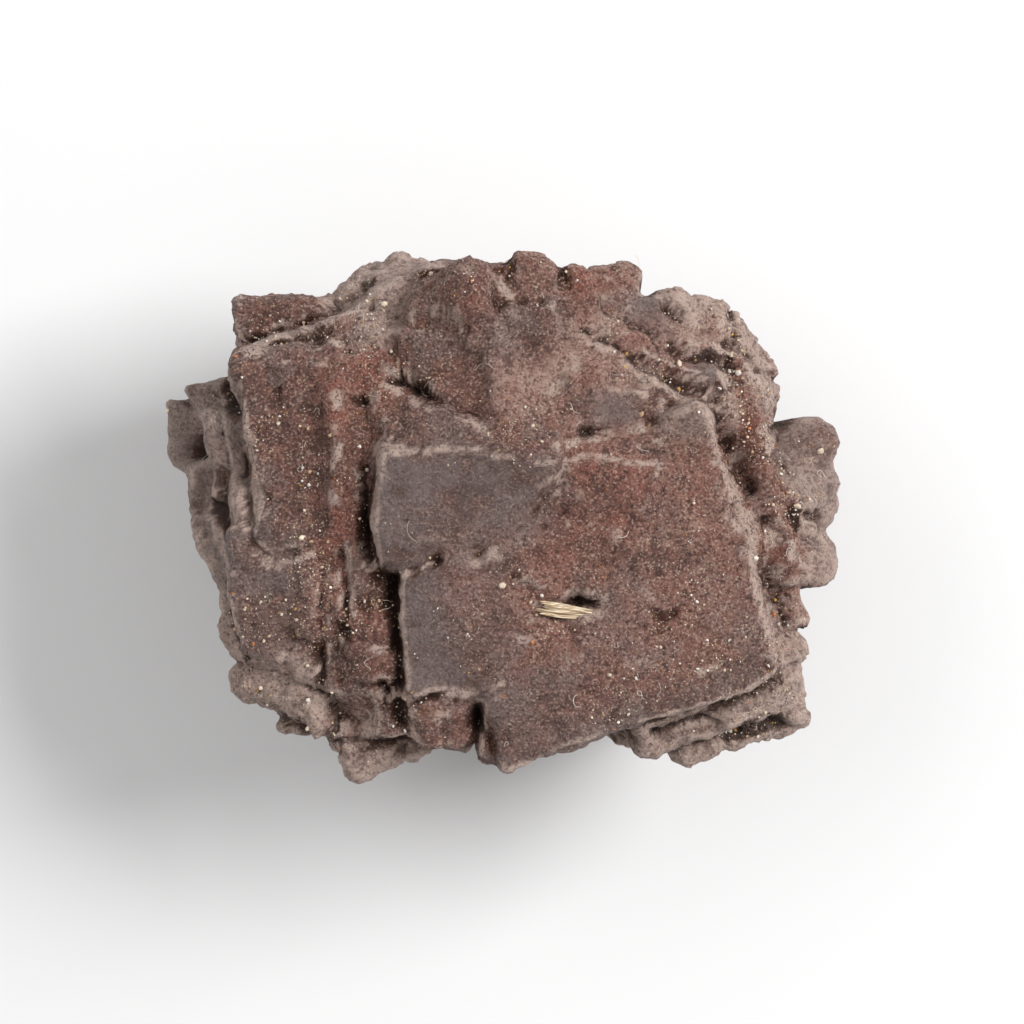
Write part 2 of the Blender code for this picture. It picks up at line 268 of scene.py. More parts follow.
CRYSTALS = (
    # The bulk that the crystals grow from.
    Crystal("core", (-0.3, -1.6, 25.6), (30, 23, 14), (0, 0), 14, 2.5, 1.5),
    Crystal("core_top", (-3.6, -1.6, 25.9), (15, 18, 6), (-3, 0), 8, 1.5, 0.8),
    Crystal("groove_floor", (-9.6, -1.6, 27.0), (4.2, 19, 5), (-3, -1), 2, 0.6, 0.6, Skin.RUSTY),
    Crystal("corner_fill", (-9.0, 9.4, 26.9), (3.6, 3.6, 5), (-3, 6), 20, 0.6, 0.6, Skin.RUSTY),
    Crystal("core_low", (0, -0.4, 14.0), (26, 19.5, 12), (0, 0), 14, 4.0),
    Crystal("foot", (0.2, -0.4, 8.0), (14.5, 10.5, 9), (0, 0), 12, 1.2),
    # The broad plate on top with its raised scabs, and the ridge-backed block beside it.
    Crystal("main_plate", (6.1, -3.4, 28.2), (19.8, 16.9, 13), (0.5, -0.5), 16.5, 0.4, 0.4, Skin.SANDY),
    Crystal("plate_front", (8.0, -11.1, 27.9), (19.4, 5.4, 12), (2.4, -10.5), 16.5, 0.35, 0.5, Skin.SATIN),
    Crystal("west_plate", (-0.6, -3.9, 28.0), (12.0, 4.0, 11), (-2, 1), 27, 0.5, 1.0, Skin.SANDY),
    Crystal("face_plate", (-3.3, -7.4, 28.15), (8.0, 8.8, 12), (-2.5, -2.5), 2, 0.4, 1.0, Skin.POLISHED),
    Crystal("raised_scab", (6.6, 1.5, 28.9), (6.4, 5.0, 3), (2, -3), 4, 0.7, 0.7, Skin.RUSTY),
    Crystal("scab_tail", (3.4, -0.6, 28.6), (3.0, 4.2, 3), (-4, -3), -14, 0.6, 0.8, Skin.RUSTY),
    Crystal("low_scab_1", (10.6, -2.2, 28.45), (5.4, 6.4, 2), (3, 2), 34, 0.6, 0.8, Skin.SANDY),
    Crystal("low_scab_2", (0.2, -5.6, 28.4), (5.0, 3.2, 2), (-2, -3), -22, 0.6, 0.8, Skin.SANDY),
    Crystal("low_scab_3", (8.4, -8.2, 28.2), (6.2, 3.4, 2), (3, -6), 8, 0.6, 0.8, Skin.SANDY),
    Crystal("ridge_block", (-2.4, 0.5, 28.7), (12.4, 8.2, 12), (1.5, -9), 1, 0.35, 0.35, Skin.POLISHED),
    Crystal("ridge_back", (-2.2, 6.6, 28.0), (12.0, 5.2, 11), (-3, 26), 1, 0.35, 0.35, Skin.BROWN),
    Crystal("back_step", (2.6, 6.1, 28.3), (5.6, 2.4, 6), (0, 10), -5, 0.5, 0.6, Skin.SANDY),
    # The slab along the left, with its ribs.
    Crystal("slab", (-13.4, 5.6, 26.3), (7.2, 12.0, 15), (-5, 1), 11.5, 0.4, 0.5, Skin.BROWN),
    Crystal("slab_low", (-15.2, -4.7, 25.4), (6.6, 9.8, 13), (-8, -4), 4, 0.5, 0.8, Skin.SATIN),
    Crystal("slab_mid", (-12.0, -2.2, 26.3), (3.8, 13.0, 9), (-2, -2), 2, 0.5, 0.8, Skin.SANDY),
    Crystal("red_rib", (-11.4, 4.9, 27.0), (2.3, 7.6, 6), (-8, 3), 3, 0.7, 0.6, Skin.RUSTY),
    Crystal("red_rib_low", (-12.1, -3.4, 26.3), (1.7, 7.6, 5), (-4, -2), 2, 0.6, 0.7, Skin.RUSTY),
    Crystal("wedge", (-9.4, -3.6, 27.5), (2.0, 3.8, 5), (0, -3), 3, 0.4, 0.5, Skin.SATIN),
    Crystal("strip", (-9.3, -8.0, 27.2), (3.3, 5.6, 6), (-2, 0), 2, 0.4, 0.6, Skin.RUSTY),
    # The small blocks along the front.
    Crystal("front_step", (-4.9, -11.9, 27.4), (5.4, 2.4, 10), (0, -3), 3, 0.4, 0.6, Skin.SANDY),
    Crystal("front_post", (-1.3, -13.9, 27.3), (2.4, 4.6, 12), (0, -7), 3, 0.4, 0.5, Skin.SATIN),
    Crystal("front_block", (-4.3, -13.5, 26.7), (4.6, 3.8, 11), (0, -9), 8, 0.4, 0.6),
    Crystal("front_block_2", (-7.9, -13.2, 26.1), (3.0, 3.8, 10), (-3, -9), 4, 0.4, 0.6),
    Crystal("front_block_3", (-10.9, -10.3, 26.0), (3.7, 3.2, 8), (-3, -6), -3, 0.4, 0.5, Skin.SATIN),
    Crystal("hollow_wall", (-13.0, -12.6, 24.8), (1.6, 4.6, 9), (-16, -10), -12, 0.5, 0.6, Skin.PALE),
    Crystal("hollow_floor", (-10.4, -12.8, 23.4), (5.0, 4.0, 6), (0, -8), 0, 0.5, 0.6, Skin.RUSTY),
    Crystal("front_tip", (-8.5, -14.9, 23.8), (6.0, 5.0, 9), (-3, -20), 22, 0.5, 0.5, Skin.PALE),
    Crystal("skirt_1", (-15.9, -10.9, 23.6), (5.6, 5.4, 11), (-18, -34), -26, 0.5, 0.9, Skin.PALE),
    Crystal("skirt_2", (-13.3, -13.0, 22.2), (5.0, 5.2, 10), (-6, -34), -12, 0.5, 0.9, Skin.PALE),
    Crystal("skirt_3", (-17.2, -9.4, 22.8), (3.4, 5.8, 10), (-34, -10), -8, 0.5, 0.9, Skin.PALE),
    # The terraces stepping down on the left.
    Crystal("terrace_1", (-17.1, 0.4, 24.9), (3.2, 5.6, 11), (-10, 2), 8, 0.5, 0.5, Skin.BARE),
    Crystal("terrace_2", (-18.4, 4.5, 24.1), (3.6, 5.6, 10), (-16, 3), 10, 0.5, 0.5, Skin.BARE),
    Crystal("terrace_3", (-20.1, 1.4, 21.8), (3.8, 5.6, 11), (-20, 1), 8, 0.5, 0.5, Skin.BARE),
    Crystal("terrace_4", (-19.4, -2.7, 22.6), (3.2, 6.8, 11), (-28, 0), 13, 0.5, 0.7, Skin.BARE),
    Crystal("terrace_5", (-18.7, -7.0, 22.3), (2.8, 4.4, 10), (-34, -6), 6, 0.5, 0.7, Skin.PALE),
    Crystal("terrace_6", (-21.3, 7.0, 20.2), (3.6, 3.4, 8), (-18, 10), 12, 0.5, 0.4, Skin.BARE),
    Crystal("terrace_7", (-19.5, 8.0, 22.0), (3.4, 3.6, 9), (-12, 16), 17, 0.6, 0.6, Skin.BARE),
    Crystal("terrace_8", (-21.4, 4.6, 19.8), (2.7, 2.4, 8), (-14, 0), 14, 0.4, 0.4, Skin.BARE),
    # The corner block and the weathered slopes along the back.
    Crystal("corner_block", (-15.5, 12.9, 22.6), (5.8, 4.4, 12), (-4, 9), 8, 0.4, 0.4),
    Crystal("bevel_1", (-12.2, 11.5, 25.2), (13.0, 3.6, 12), (-7, 20), 24, 0.4, 0.6, Skin.PALE),
    Crystal("bevel_2", (-11.0, 13.3, 24.3), (12.5, 1.9, 12), (-6, 18), 25, 0.3, 0.4, Skin.BARE),
    Crystal("hill_1", (-9.9, 14.7, 23.2), (6.6, 5.0, 12), (-10, 22), 30, 1.0, 1.0, Skin.PALE),
    Crystal("hill_2", (-6.8, 15.4, 24.4), (4.2, 4.4, 12), (0, 24), 24, 0.9, 1.0, Skin.PALE),
    Crystal("shelf", (-2.2, 11.0, 27.25), (9.6, 7.8, 12), (-2, -14), -8, 0.6, 0.7, Skin.BROWN),
    Crystal("crown", (-1.6, 14.8, 27.2), (6.6, 4.4, 12), (0, 14), 2, 1.1, 0.9, Skin.RUSTY),
    Crystal("slope_1", (9.6, 9.8, 26.0), (10.5, 7.8, 12), (8, 18), 8, 0.8, 1.2, Skin.FADED),
    Crystal("slope_2", (4.6, 13.2, 25.6), (7.8, 6.6, 12), (2, 15), -4, 0.9, 1.2, Skin.FADED),
    Crystal("slope_crest", (7.2, 9.6, 27.2), (5.8, 1.9, 4), (2, 8), -3, 0.6, 0.9, Skin.FADED),
    Crystal("slope_rib", (10.8, 10.6, 26.3), (6.6, 1.3, 4), (6, 14), -24, 0.5, 0.8, Skin.RUSTY),
    Crystal("slope_fill", (5.6, 10.4, 26.75), (12.5, 9.0, 8), (6, 12), -14, 0.8, 1.3, Skin.FADED),
    Crystal("boss", (6.8, 6.8, 27.9), (4.0, 2.1, 4), (0, -8), 4, 0.8, 0.8, Skin.POLISHED),
    # The valley, the bulges and the ledges on the right.
    Crystal("valley", (14.7, 2.6, 25.4), (7.2, 14.6, 12), (11, 3), 16, 0.8, 1.0, Skin.RUSTY),
    Crystal("right_wall", (15.6, 9.3, 23.6), (5.6, 5.8, 12), (26, 14), -26, 0.8, 1.0, Skin.FADED),
    Crystal("bulge_1", (19.1, 3.6, 23.2), (5.8, 5.6, 12), (18, 6), 10, 0.9, 0.9, Skin.BARE),
    Crystal("bulge_2", (19.0, -0.8, 23.7), (5.8, 7.4, 12), (24, -6), 8, 1.1, 0.9, Skin.PALE),
    Crystal("neck", (16.8, -5.6, 24.0), (6.6, 5.8, 12), (14, -2), 12, 0.8, 0.9, Skin.RUSTY),
    Crystal("right_block", (17.0, -9.8, 24.4), (5.8, 8.8, 12), (22, -4), 8, 0.5, 0.6, Skin.PALE),
    Crystal("ledge_1", (13.8, -13.2, 24.4), (11.2, 3.4, 10), (7, -24), 17, 0.4, 0.5, Skin.PALE),
    Crystal("ledge_2", (15.6, -13.8, 22.9), (9.0, 3.8, 10), (8, -30), 18, 0.4, 0.5, Skin.PALE),
    Crystal("ledge_3", (10.0, -13.9, 22.6), (6.2, 2.9, 9), (0, -26), 10, 0.4, 0.5, Skin.PALE),
    Crystal("right_corner", (17.9, -12.3, 22.2), (4.2, 4.0, 10), (16, -20), 10, 0.5, 0.6, Skin.PALE),
    # The blocks round the flanks and under the stone, leaning outward so that the stone narrows to its foot.
    Crystal("north_1", (-3.0, 14.4, 18.6), (7.0, 5.0, 9), (2, 14), -18, 0.5, 0.4, Skin.SATIN),
    Crystal("north_2", (4.6, 13.8, 17.2), (6.4, 5.0, 10), (-4, 18), 14, 0.5, 0.4),
    Crystal("north_3", (10.6, 11.4, 16.4), (6.0, 5.4, 10), (12, 16), -28, 0.5, 0.4, Skin.POLISHED),
    Crystal("north_4", (-9.3, 13.0, 14.6), (6.0, 5.2, 9), (-10, 18), 34, 0.5, 0.4),
    Crystal("north_5", (0.4, 11.8, 10.6), (7.6, 5.2, 8), (3, 34), 10, 0.5, 0.4, Skin.RUSTY),
    Crystal("north_6", (-15.4, 8.8, 12.6), (5.6, 5.2, 8), (-24, 20), -14, 0.5, 0.4, Skin.SATIN),
    Crystal("north_7", (7.0, 9.4, 8.6), (6.4, 5.6, 8), (14, 38), -20, 0.5, 0.4),
    Crystal("north_8", (-7.0, 9.6, 7.4), (6.2, 5.4, 7), (-14, 40), 24, 0.5, 0.4, Skin.SATIN),
    Crystal("west_1", (-17.4, 3.0, 12.6), (6.2, 6.6, 9), (-22, 6), -14, 0.5, 0.4, Skin.POLISHED),
    Crystal("west_2", (-16.8, -4.6, 15.0), (5.8, 6.2, 10), (-16, -6), 20, 0.5, 0.4),
    Crystal("west_3", (-13.4, 0.0, 7.0), (5.8, 7.4, 7.5), (-36, 4), 10, 0.5, 0.4),
    Crystal("west_4", (-13.0, -6.0, 8.4), (5.4, 5.4, 8), (-30, -18), -24, 0.5, 0.4, Skin.SATIN),
    Crystal("south_1", (-12.2, -10.4, 12.4), (6.0, 5.4, 9), (-16, -22), 30, 0.5, 0.4),
    Crystal("south_2", (-5.2, -13.2, 15.8), (6.6, 5.0, 10), (-4, -16), -12, 0.5, 0.4, Skin.SATIN),
    Crystal("south_3", (2.4, -12.8, 18.6), (6.2, 5.0, 10), (2, -14), 12, 0.5, 0.4),
    Crystal("south_4", (8.6, -12.0, 13.4), (6.6, 5.2, 9), (8, -22), -24, 0.5, 0.4, Skin.POLISHED),
    Crystal("south_5", (-1.4, -10.6, 8.6), (8.0, 5.2, 8), (0, -36), 8, 0.5, 0.4),
    Crystal("south_6", (-7.4, -8.8, 6.6), (5.6, 5.2, 7), (-16, -40), -26, 0.5, 0.4, Skin.RUSTY),
    Crystal("south_7", (6.4, -8.4, 6.2), (6.0, 5.2, 7), (16, -38), 22, 0.5, 0.4),
    Crystal("east_1", (17.4, -4.4, 14.0), (5.8, 6.4, 9), (20, -8), -20, 0.5, 0.4, Skin.SATIN),
    Crystal("east_2", (18.0, 2.8, 13.0), (6.0, 6.8, 9), (22, 6), 24, 0.5, 0.4),
    Crystal("east_3", (13.8, 8.2, 10.6), (6.0, 5.6, 8), (26, 22), 8, 0.5, 0.4, Skin.SATIN),
    Crystal("east_4", (13.2, -9.0, 9.2), (5.6, 5.6, 8), (24, -24), 32, 0.5, 0.4, Skin.RUSTY),
    Crystal("east_5", (12.6, -0.6, 6.4), (6.2, 7.4, 7), (38, 0), -8, 0.5, 0.4),
    Crystal("under_1", (-5.0, 2.6, 5.4), (7.4, 6.4, 7), (-4, 6), 20, 0.5, 0.4),
    Crystal("under_2", (5.4, -3.2, 5.6), (7.6, 6.2, 7), (5, -4), -16, 0.5, 0.4),
    Crystal("under_3", (4.6, 4.4, 5.0), (5.6, 4.6, 6), (8, 10), 8, 0.5, 0.4),
)

KNOBS = (
    Knob((-2.6, 15.0, 27.5), (2.5, 2.0, 1.9), 0.8, Skin.RUSTY),
    Knob((-4.8, 14.6, 26.9), (1.0, 1.4, 0.9), 0.5, Skin.RUSTY),
    Knob((1.2, 15.8, 25.7), (1.7, 1.5, 1.8)),
    Knob((2.2, 14.0, 26.8), (0.9, 0.7, 0.7), 0.5, Skin.PALE),
    Knob((3.9, 14.8, 25.6), (1.8, 2.0, 1.6), 1.2, Skin.RUSTY),
    Knob((7.2, 15.6, 24.5), (2.2, 1.5, 1.8)),
    Knob((9.0, 13.8, 25.0), (1.5, 1.2, 1.3), 0.6, Skin.POLISHED),
    Knob((11.6, 13.6, 23.6), (1.9, 1.5, 1.7), 1.2, Skin.PALE),
    Knob((14.4, 12.4, 22.6), (1.6, 1.4, 1.6), 1.2, Skin.PALE),
    Knob((15.6, 10.7, 22.5), (1.6, 1.6, 1.7), 1.2, Skin.PALE),
    Knob((16.6, 8.4, 22.0), (1.8, 2.0, 2.2), 1.2, Skin.PALE),
    Knob((5.0, 9.0, 26.9), (1.2, 0.9, 1.0), 0.8),
    Knob((9.6, 8.2, 26.7), (1.4, 1.2, 1.2), 0.8, Skin.BROWN),
    Knob((13.0, 9.1, 25.9), (1.5, 1.0, 1.0), 0.8, Skin.POLISHED),
    Knob((-20.5, 5.3, 18.7), (0.9, 0.8, 0.8), 0.4, Skin.PALE),
    Knob((-10.8, 12.3, 25.1), (1.7, 1.1, 1.0), 0.8, Skin.BROWN),
    Knob((-11.2, 8.6, 26.5), (1.1, 1.2, 1.0), 0.5, Skin.RUSTY),
    Knob((12.2, 6.8, 28.1), (1.6, 0.9, 0.9), 0.5, Skin.PALE),
    Knob((20.4, 5.2, 21.2), (1.6, 1.4, 1.6), 1.0, Skin.BROWN),
    Knob((20.9, 1.2, 20.0), (1.4, 1.8, 2.2), 1.2, Skin.PALE),
    Knob((20.8, -2.6, 19.6), (1.3, 1.6, 2.4), 1.2, Skin.PALE),
)

STROKES = tuple(
    Stroke((x0, y0), (x1, y1), width, depth)
    for x0, y0, x1, y1, width, depth in (
        # The crack behind the ridge-backed block.
        (-8.0, 9.7, -4.9, 8.1, 0.42, 0.85), (-4.9, 8.1, -1.5, 6.5, 0.45, 0.6),
        # The grooves beside the ribs, the slab and the broad plate.
        (-9.4, 8.4, -9.4, 3.4, 0.6, 0.8), (-9.3, 2.0, -9.0, -2.5, 0.36, 1.0),
        (-10.8, 8.5, -10.9, 2.7, 0.4, 0.25), (-11.0, -1.3, -10.7, -6.4, 0.34, 0.6),
        (-7.5, -4.2, -7.3, -11.3, 0.34, 0.5), (-12.3, -2.8, -12.5, -10.8, 0.3, 0.45),
        # The strip's pocket and hole, and the hollow at the front.
        (-10.6, -7.9, -8.6, -8.4, 0.55, 0.7), (-8.6, -10.8, -8.3, -11.6, 0.4, 1.0),
        (-11.8, -12.9, -10.1, -13.4, 1.15, 1.3),
        # The gaps between the small blocks at the front.
        (-7.3, -12.4, -6.9, -15.5, 0.3, 0.5), (-2.3, -12.4, -2.6, -15.3, 0.3, 0.5),
        (-4.7, -13.2, -4.5, -15.5, 0.28, 0.3), (-7.1, -12.3, -2.5, -10.8, 0.35, 0.5),
        (-11.2, -15.0, -6.0, -15.3, 0.4, 0.7),
        # The foot of the satin face, and round the raised scab.
        (-7.4, -3.6, -1.9, -2.5, 0.7, 0.35), (-1.9, -2.5, 2.7, 0.8, 0.6, 0.55),
        (2.5, 1.2, 3.3, 1.9, 0.42, 0.8), (3.7, 3.4, 4.0, -0.1, 0.35, 0.5),
        (4.0, -0.2, 7.7, 0.5, 0.5, 0.35),
        # The pit that holds the straw.
        (1.6, -4.9, 5.6, -5.8, 0.62, 0.8), (4.5, -5.3, 6.2, -5.7, 0.42, 0.9),
        (1.9, -5.7, 3.6, -6.0, 0.5, 0.4),
        # The flank below the broad plate's right edge.
        (13.7, 7.6, 15.3, 3.9, 0.55, 0.9), (15.3, 3.9, 16.7, -0.1, 0.55, 1.0),
        (16.7, -0.1, 18.5, -8.3, 0.6, 0.9),
        # Between the ledges.
        (9.6, -14.4, 14.5, -12.9, 0.36, 0.8), (14.5, -12.9, 19.3, -9.9, 0.36, 0.8),
        (12.5, -15.3, 19.9, -12.7, 0.26, 0.7), (9.0, -13.5, 13.2, -12.3, 0.25, 0.5),
        (14.2, -14.8, 20.1, -11.7, 0.2, 0.5),
        # The valley, and the holes and lines of the bulges and blocks beyond it.
        (19.8, 0.5, 20.3, 0.3, 0.3, 0.9), (17.9, 1.0, 19.7, -1.8, 0.4, 0.5),
        (15.6, 5.4, 17.4, -0.9, 0.6, 0.7), (18.5, 5.5, 17.8, 1.3, 0.5, 0.3),
        (17.5, -8.3, 20.4, -7.5, 0.35, 0.6), (19.3, -9.3, 20.6, -11.7, 0.3, 0.5),
        # Round the crown, and between the lumps along the back edge.
        (0.3, 16.6, 0.7, 15.6, 0.45, 0.55), (3.1, 17.2, 3.6, 15.0, 0.45, 0.5),
        (6.3, 17.3, 7.1, 15.6, 0.4, 0.45), (9.7, 15.8, 9.0, 13.8, 0.45, 0.5),
        (12.3, 15.0, 13.2, 13.2, 0.4, 0.45), (14.7, 13.5, 15.2, 11.8, 0.35, 0.5),
        (-7.4, 13.5, -4.0, 13.2, 0.6, 0.7), (-0.8, 15.0, 0.3, 12.9, 0.5, 0.6),
        (0.8, 12.9, 2.7, 8.7, 0.6, 0.4),
        # The streaked slope, and round the boss.
        (4.6, 12.4, 12.5, 8.7, 0.5, 0.5), (6.3, 13.8, 15.6, 9.2, 0.45, 0.5),
        (10.1, 13.8, 17.9, 9.2, 0.45, 0.45), (3.6, 11.4, 9.0, 10.1, 0.4, 0.3),
        (4.2, 9.0, 9.7, 9.1, 0.45, 0.4), (4.8, 5.5, 9.0, 5.4, 0.5, 0.45),
        (9.4, 6.2, 10.1, 5.7, 0.4, 0.3), (10.1, 8.5, 11.0, 6.8, 0.5, 0.4),
        # The corner block and the hill behind it.
        (-18.4, 11.2, -12.2, 14.6, 0.28, 0.7), (-16.9, 11.2, -9.3, 14.9, 0.3, 0.3),
        (-14.2, 12.9, -6.0, 16.6, 0.3, 0.3),
        # The terraces and the slab's steps.
        (-22.7, 5.4, -19.9, 6.3, 0.28, 0.6), (-19.4, 8.2, -18.4, -0.1, 0.3, 0.6),
        (-17.7, 8.2, -16.9, -0.8, 0.28, 0.6), (-21.9, 3.4, -21.1, -2.8, 0.3, 0.5),
        (-20.3, 1.3, -19.0, -5.5, 0.3, 0.5), (-16.9, -1.4, -15.5, -2.8, 0.35, 0.5),
        (-16.4, -2.5, -12.9, -2.0, 0.35, 0.4),
        # The skirt, and folds in the shelf and the slab.
        (-18.4, -9.7, -12.2, -11.7, 0.35, 0.5), (-17.7, -12.4, -12.5, -14.6, 0.35, 0.5),
        (-18.9, -5.5, -17.7, -9.3, 0.3, 0.4), (-6.7, 8.5, 0.8, 11.9, 0.35, 0.2),
        (-15.3, 9.5, -14.2, -0.1, 0.8, 0.2),
        # Raised: the crest of the satin face.
        (-8.4, 5.0, -5.3, 4.5, 0.4, -0.3), (-5.3, 4.5, -0.6, 4.2, 0.4, -0.3),
        (-0.6, 4.2, 3.3, 3.8, 0.4, -0.25),
        # Raised: the broad plate's right rim and front rim.
        (11.0, 7.0, 12.5, 7.6, 0.55, -0.45), (12.9, 7.1, 14.7, 3.5, 0.4, -0.4),
        (14.7, 3.5, 16.0, 0.3, 0.4, -0.35), (16.0, 0.3, 17.7, -9.0, 0.4, -0.3),
        (17.5, -9.7, 13.2, -12.0, 0.35, -0.2), (13.2, -12.0, 3.6, -14.6, 0.35, -0.2),
        (3.6, -14.6, -0.6, -16.2, 0.35, -0.15),
        # Raised: the slab's rims and the hill's ridges.
        (-17.9, 10.1, -16.3, 0.3, 0.35, -0.25), (-17.7, 10.2, -12.2, 10.5, 0.4, -0.2),
        (-17.9, 10.8, -10.1, 14.4, 0.35, -0.4), (-15.6, 11.9, -4.7, 17.1, 0.35, -0.4),
        (-12.2, 15.0, -8.8, 16.5, 0.4, -0.35),
        # Raised: the streaks on the slope.
        (5.3, 12.8, 13.2, 9.4, 0.45, -0.5), (7.7, 13.8, 16.2, 9.7, 0.4, -0.5),
        (3.9, 11.9, 9.7, 9.5, 0.4, -0.45),
        # Raised: the scab's rims and the red rib's crest.
        (3.9, 3.8, 10.1, 3.5, 0.3, -0.2), (10.1, 3.5, 9.0, 1.0, 0.3, -0.2),
        (-11.2, 8.7, -11.5, 1.3, 0.45, -0.4),
        # Raised: the bulges, the right-hand block and the ledge.
        (18.5, -2.8, 20.0, 1.3, 0.45, -0.35), (17.6, -4.9, 20.4, -3.5, 0.4, -0.35),
        (17.3, -12.4, 20.4, -8.3, 0.4, -0.3), (9.0, -13.9, 19.3, -9.5, 0.3, -0.3),
        # Raised: the skirt, the tip and the corner block.
        (-18.5, -9.3, -14.2, -11.3, 0.35, -0.3), (-11.8, -16.0, -8.8, -18.1, 0.4, -0.25),
        (-18.4, 14.7, -18.4, 11.4, 0.35, -0.25),
        # Raised: the shelf, the dusty swell of the plate and the wedge.
        (-3.6, 13.6, -0.6, 9.5, 0.5, -0.25), (-6.4, 13.3, -4.7, 8.7, 0.5, -0.2),
        (3.6, -4.9, -0.6, -2.8, 0.9, -0.3), (-9.8, 1.0, -9.3, -5.5, 0.35, -0.25),
    )
)


@dataclass(frozen=True)
class StoneShape:
    """The stone's shape as a distance field in millimetres, negative inside.

    Pieces are measured exactly where they are near. Noise warps the whole shape and wears the crystals' edges
    by a mean and a swing, and strokes fade in between two heights.
    """

    near: float = 2.0
    warp_size: float = 4.5
    warp_depth: float = 0.5
    wear_size: float = 2.2
    wear: tuple[float, float] = (1.2, 1.1)
    stroke_heights: tuple[float, float] = (16.5, 21.5)
    stroke_strength: tuple[float, float] = (0.9, 0.5)
    stroke_size: float = 1.3
    rough_size: float = 2.3
    blend: float = 0.16

    def warped(self, points: Array) -> Array:
        """Points pushed about by noise, so that no crystal face stays quite flat or edge quite straight.

        Args:
            points: an (n, 3) array in millimetres.

        Returns:
            The moved points.
        """
        slow = points / self.warp_size
        push = [fractal(slow + shift, 3, seed, 0.42) for shift, seed in ((0, 11), (31.7, 12), (63.1, 13))]
        return points + self.warp_depth * np.stack(push, axis=1)

    def distance(self, points: Array, rough: float = 0.2) -> Array:
        """Distance to the stone: the fused crystals and knobs, carved by strokes, roughened, cut at z = 0.

        Args:
            points: an (n, 3) array in millimetres.
            rough: how deep the roughness is.

        Returns:
            The distance for each point, negative inside.
        """
        points = points.astype(np.float32)
        moved = self.warped(points)
        wear = self.wear[0] + self.wear[1] * lattice_noise(points / self.wear_size, 21)
        found = np.full(len(points), FAR, np.float32)
        for crystal in CRYSTALS:
            found = self._add(found, moved, crystal.centre, crystal.reach, crystal.merge,
                              lambda p, at: crystal.distance(p, wear[at]))
        for knob in KNOBS:
            found = self._add(found, moved, knob.centre, max(knob.radii), knob.merge,
                              lambda p, at: knob.distance(p))
        # Strokes are drawn from above, so they fade out down the flanks.
        low, high = self.stroke_heights
        at = np.flatnonzero((found < self.near) & (points[:, 2] > low))
        drawn = moved[at]
        mean, swing = self.stroke_strength
        depth = mean + swing * lattice_noise(points[at] / self.stroke_size, 22)
        depth = depth * ramp(points[at, 2], low, high)
        found[at] += depth * sum(stroke.lift(drawn) for stroke in STROKES)
        if rough:
            found += rough * fractal(points / self.rough_size, 3, 5)
        return np.maximum(found, -points[:, 2])

    def _gap(self, points: Array, centre: Array, reach: float) -> Array:
        """How far each point is outside the ball that holds a piece."""
        offset = points - np.asarray(centre, np.float32)
        return np.sqrt(np.einsum("ij,ij->i", offset, offset)) - np.float32(reach)

    def _add(
        self, found: Array, points: Array, centre: Array, reach: float, merge: float,
        distance: Callable[[Array, Array], Array],
    ) -> Array:
        """Fuse one piece into the field, measured exactly near it and by the ball round it further away.

        Args:
            found: the field so far, for each point.
            points: an (n, 3) array in millimetres.
            centre: the middle of the ball that holds the piece.
            reach: that ball's radius.
            merge: the width of the fillet between the piece and the rest.
            distance: the piece's own distance, from some of the points and their numbers.

        Returns:
            The field with the piece in it.
        """
        gap = self._gap(points, centre, reach)
        at = np.flatnonzero(gap <= self.near)
        kept = found[at]
        found = np.where(gap > self.near, np.minimum(found, np.maximum(gap, 0.5)), found)
        found[at] = smooth_min(kept, distance(points[at], at), merge) if len(at) else kept
        return found

    def skins(self, points: Array) -> Array:
        """How the stone has weathered at each point, from the crystals and knobs that are nearest to it.

        Args:
            points: an (n, 3) array in millimetres.

        Returns:
            An (n, 3) array of polished, rusty and pale shares.
        """
        moved = self.warped(points.astype(np.float32))
        total = np.full((len(points), 1), 1e-6, np.float32)
        shares = np.zeros((len(points), 3), np.float32)
        for piece in CRYSTALS + KNOBS:
            reach = piece.reach if isinstance(piece, Crystal) else max(piece.radii)
            at = np.flatnonzero(self._gap(moved, piece.centre, reach) <= self.near)
            args = (moved[at], 1.0) if isinstance(piece, Crystal) else (moved[at],)
            weight = np.exp(-np.maximum(piece.distance(*args) + 0.3, 0) / self.blend)[:, None]
            total[at] += weight
            shares[at] += weight * np.array(piece.skin.value, np.float32)
        return shares / total


# ---------------------------------------------------------------- meshes


def box_grid(cells: tuple[int, int, int]) -> tuple[Array, Array]:
    """Points on a cube from -1 to 1, and the quads between them.

    Each face is a function of two parameters a and b, evenly spaced from -1 to 1: the point (a, b, 1),
    turned to that face.

    Args:
        cells: how many quads run along the X, Y and Z edges.

    Returns:
        The (n, 3) points and the (m, 4) quads, which are counterclockwise seen from outside.
    """
    points, quads, count = [], [], 0
    for axis, side in ((2, 1), (0, 1), (1, 1), (2, -1), (0, -1), (1, -1)):
        first, second = ((axis + 1) % 3, (axis + 2) % 3)[::side]
        a, b = np.meshgrid(*(np.linspace(-1, 1, cells[k] + 1) for k in (first, second)), indexing="ij")
        face = np.empty((*a.shape, 3))
        face[..., first], face[..., second], face[..., axis] = a, b, side
        number = count + np.arange(a.size).reshape(a.shape)
        corners = (number[:-1, :-1], number[1:, :-1], number[1:, 1:], number[:-1, 1:])
        points.append(face.reshape(-1, 3))
        quads.append(np.stack([corner.reshape(-1) for corner in corners], axis=1))
        count += a.size
    points = np.concatenate(points)
    _, kept, index = np.unique(np.round(points * 1e5).astype(np.int64), axis=0, return_index=True,
                               return_inverse=True)
    return points[kept], index.reshape(-1)[np.concatenate(quads)]


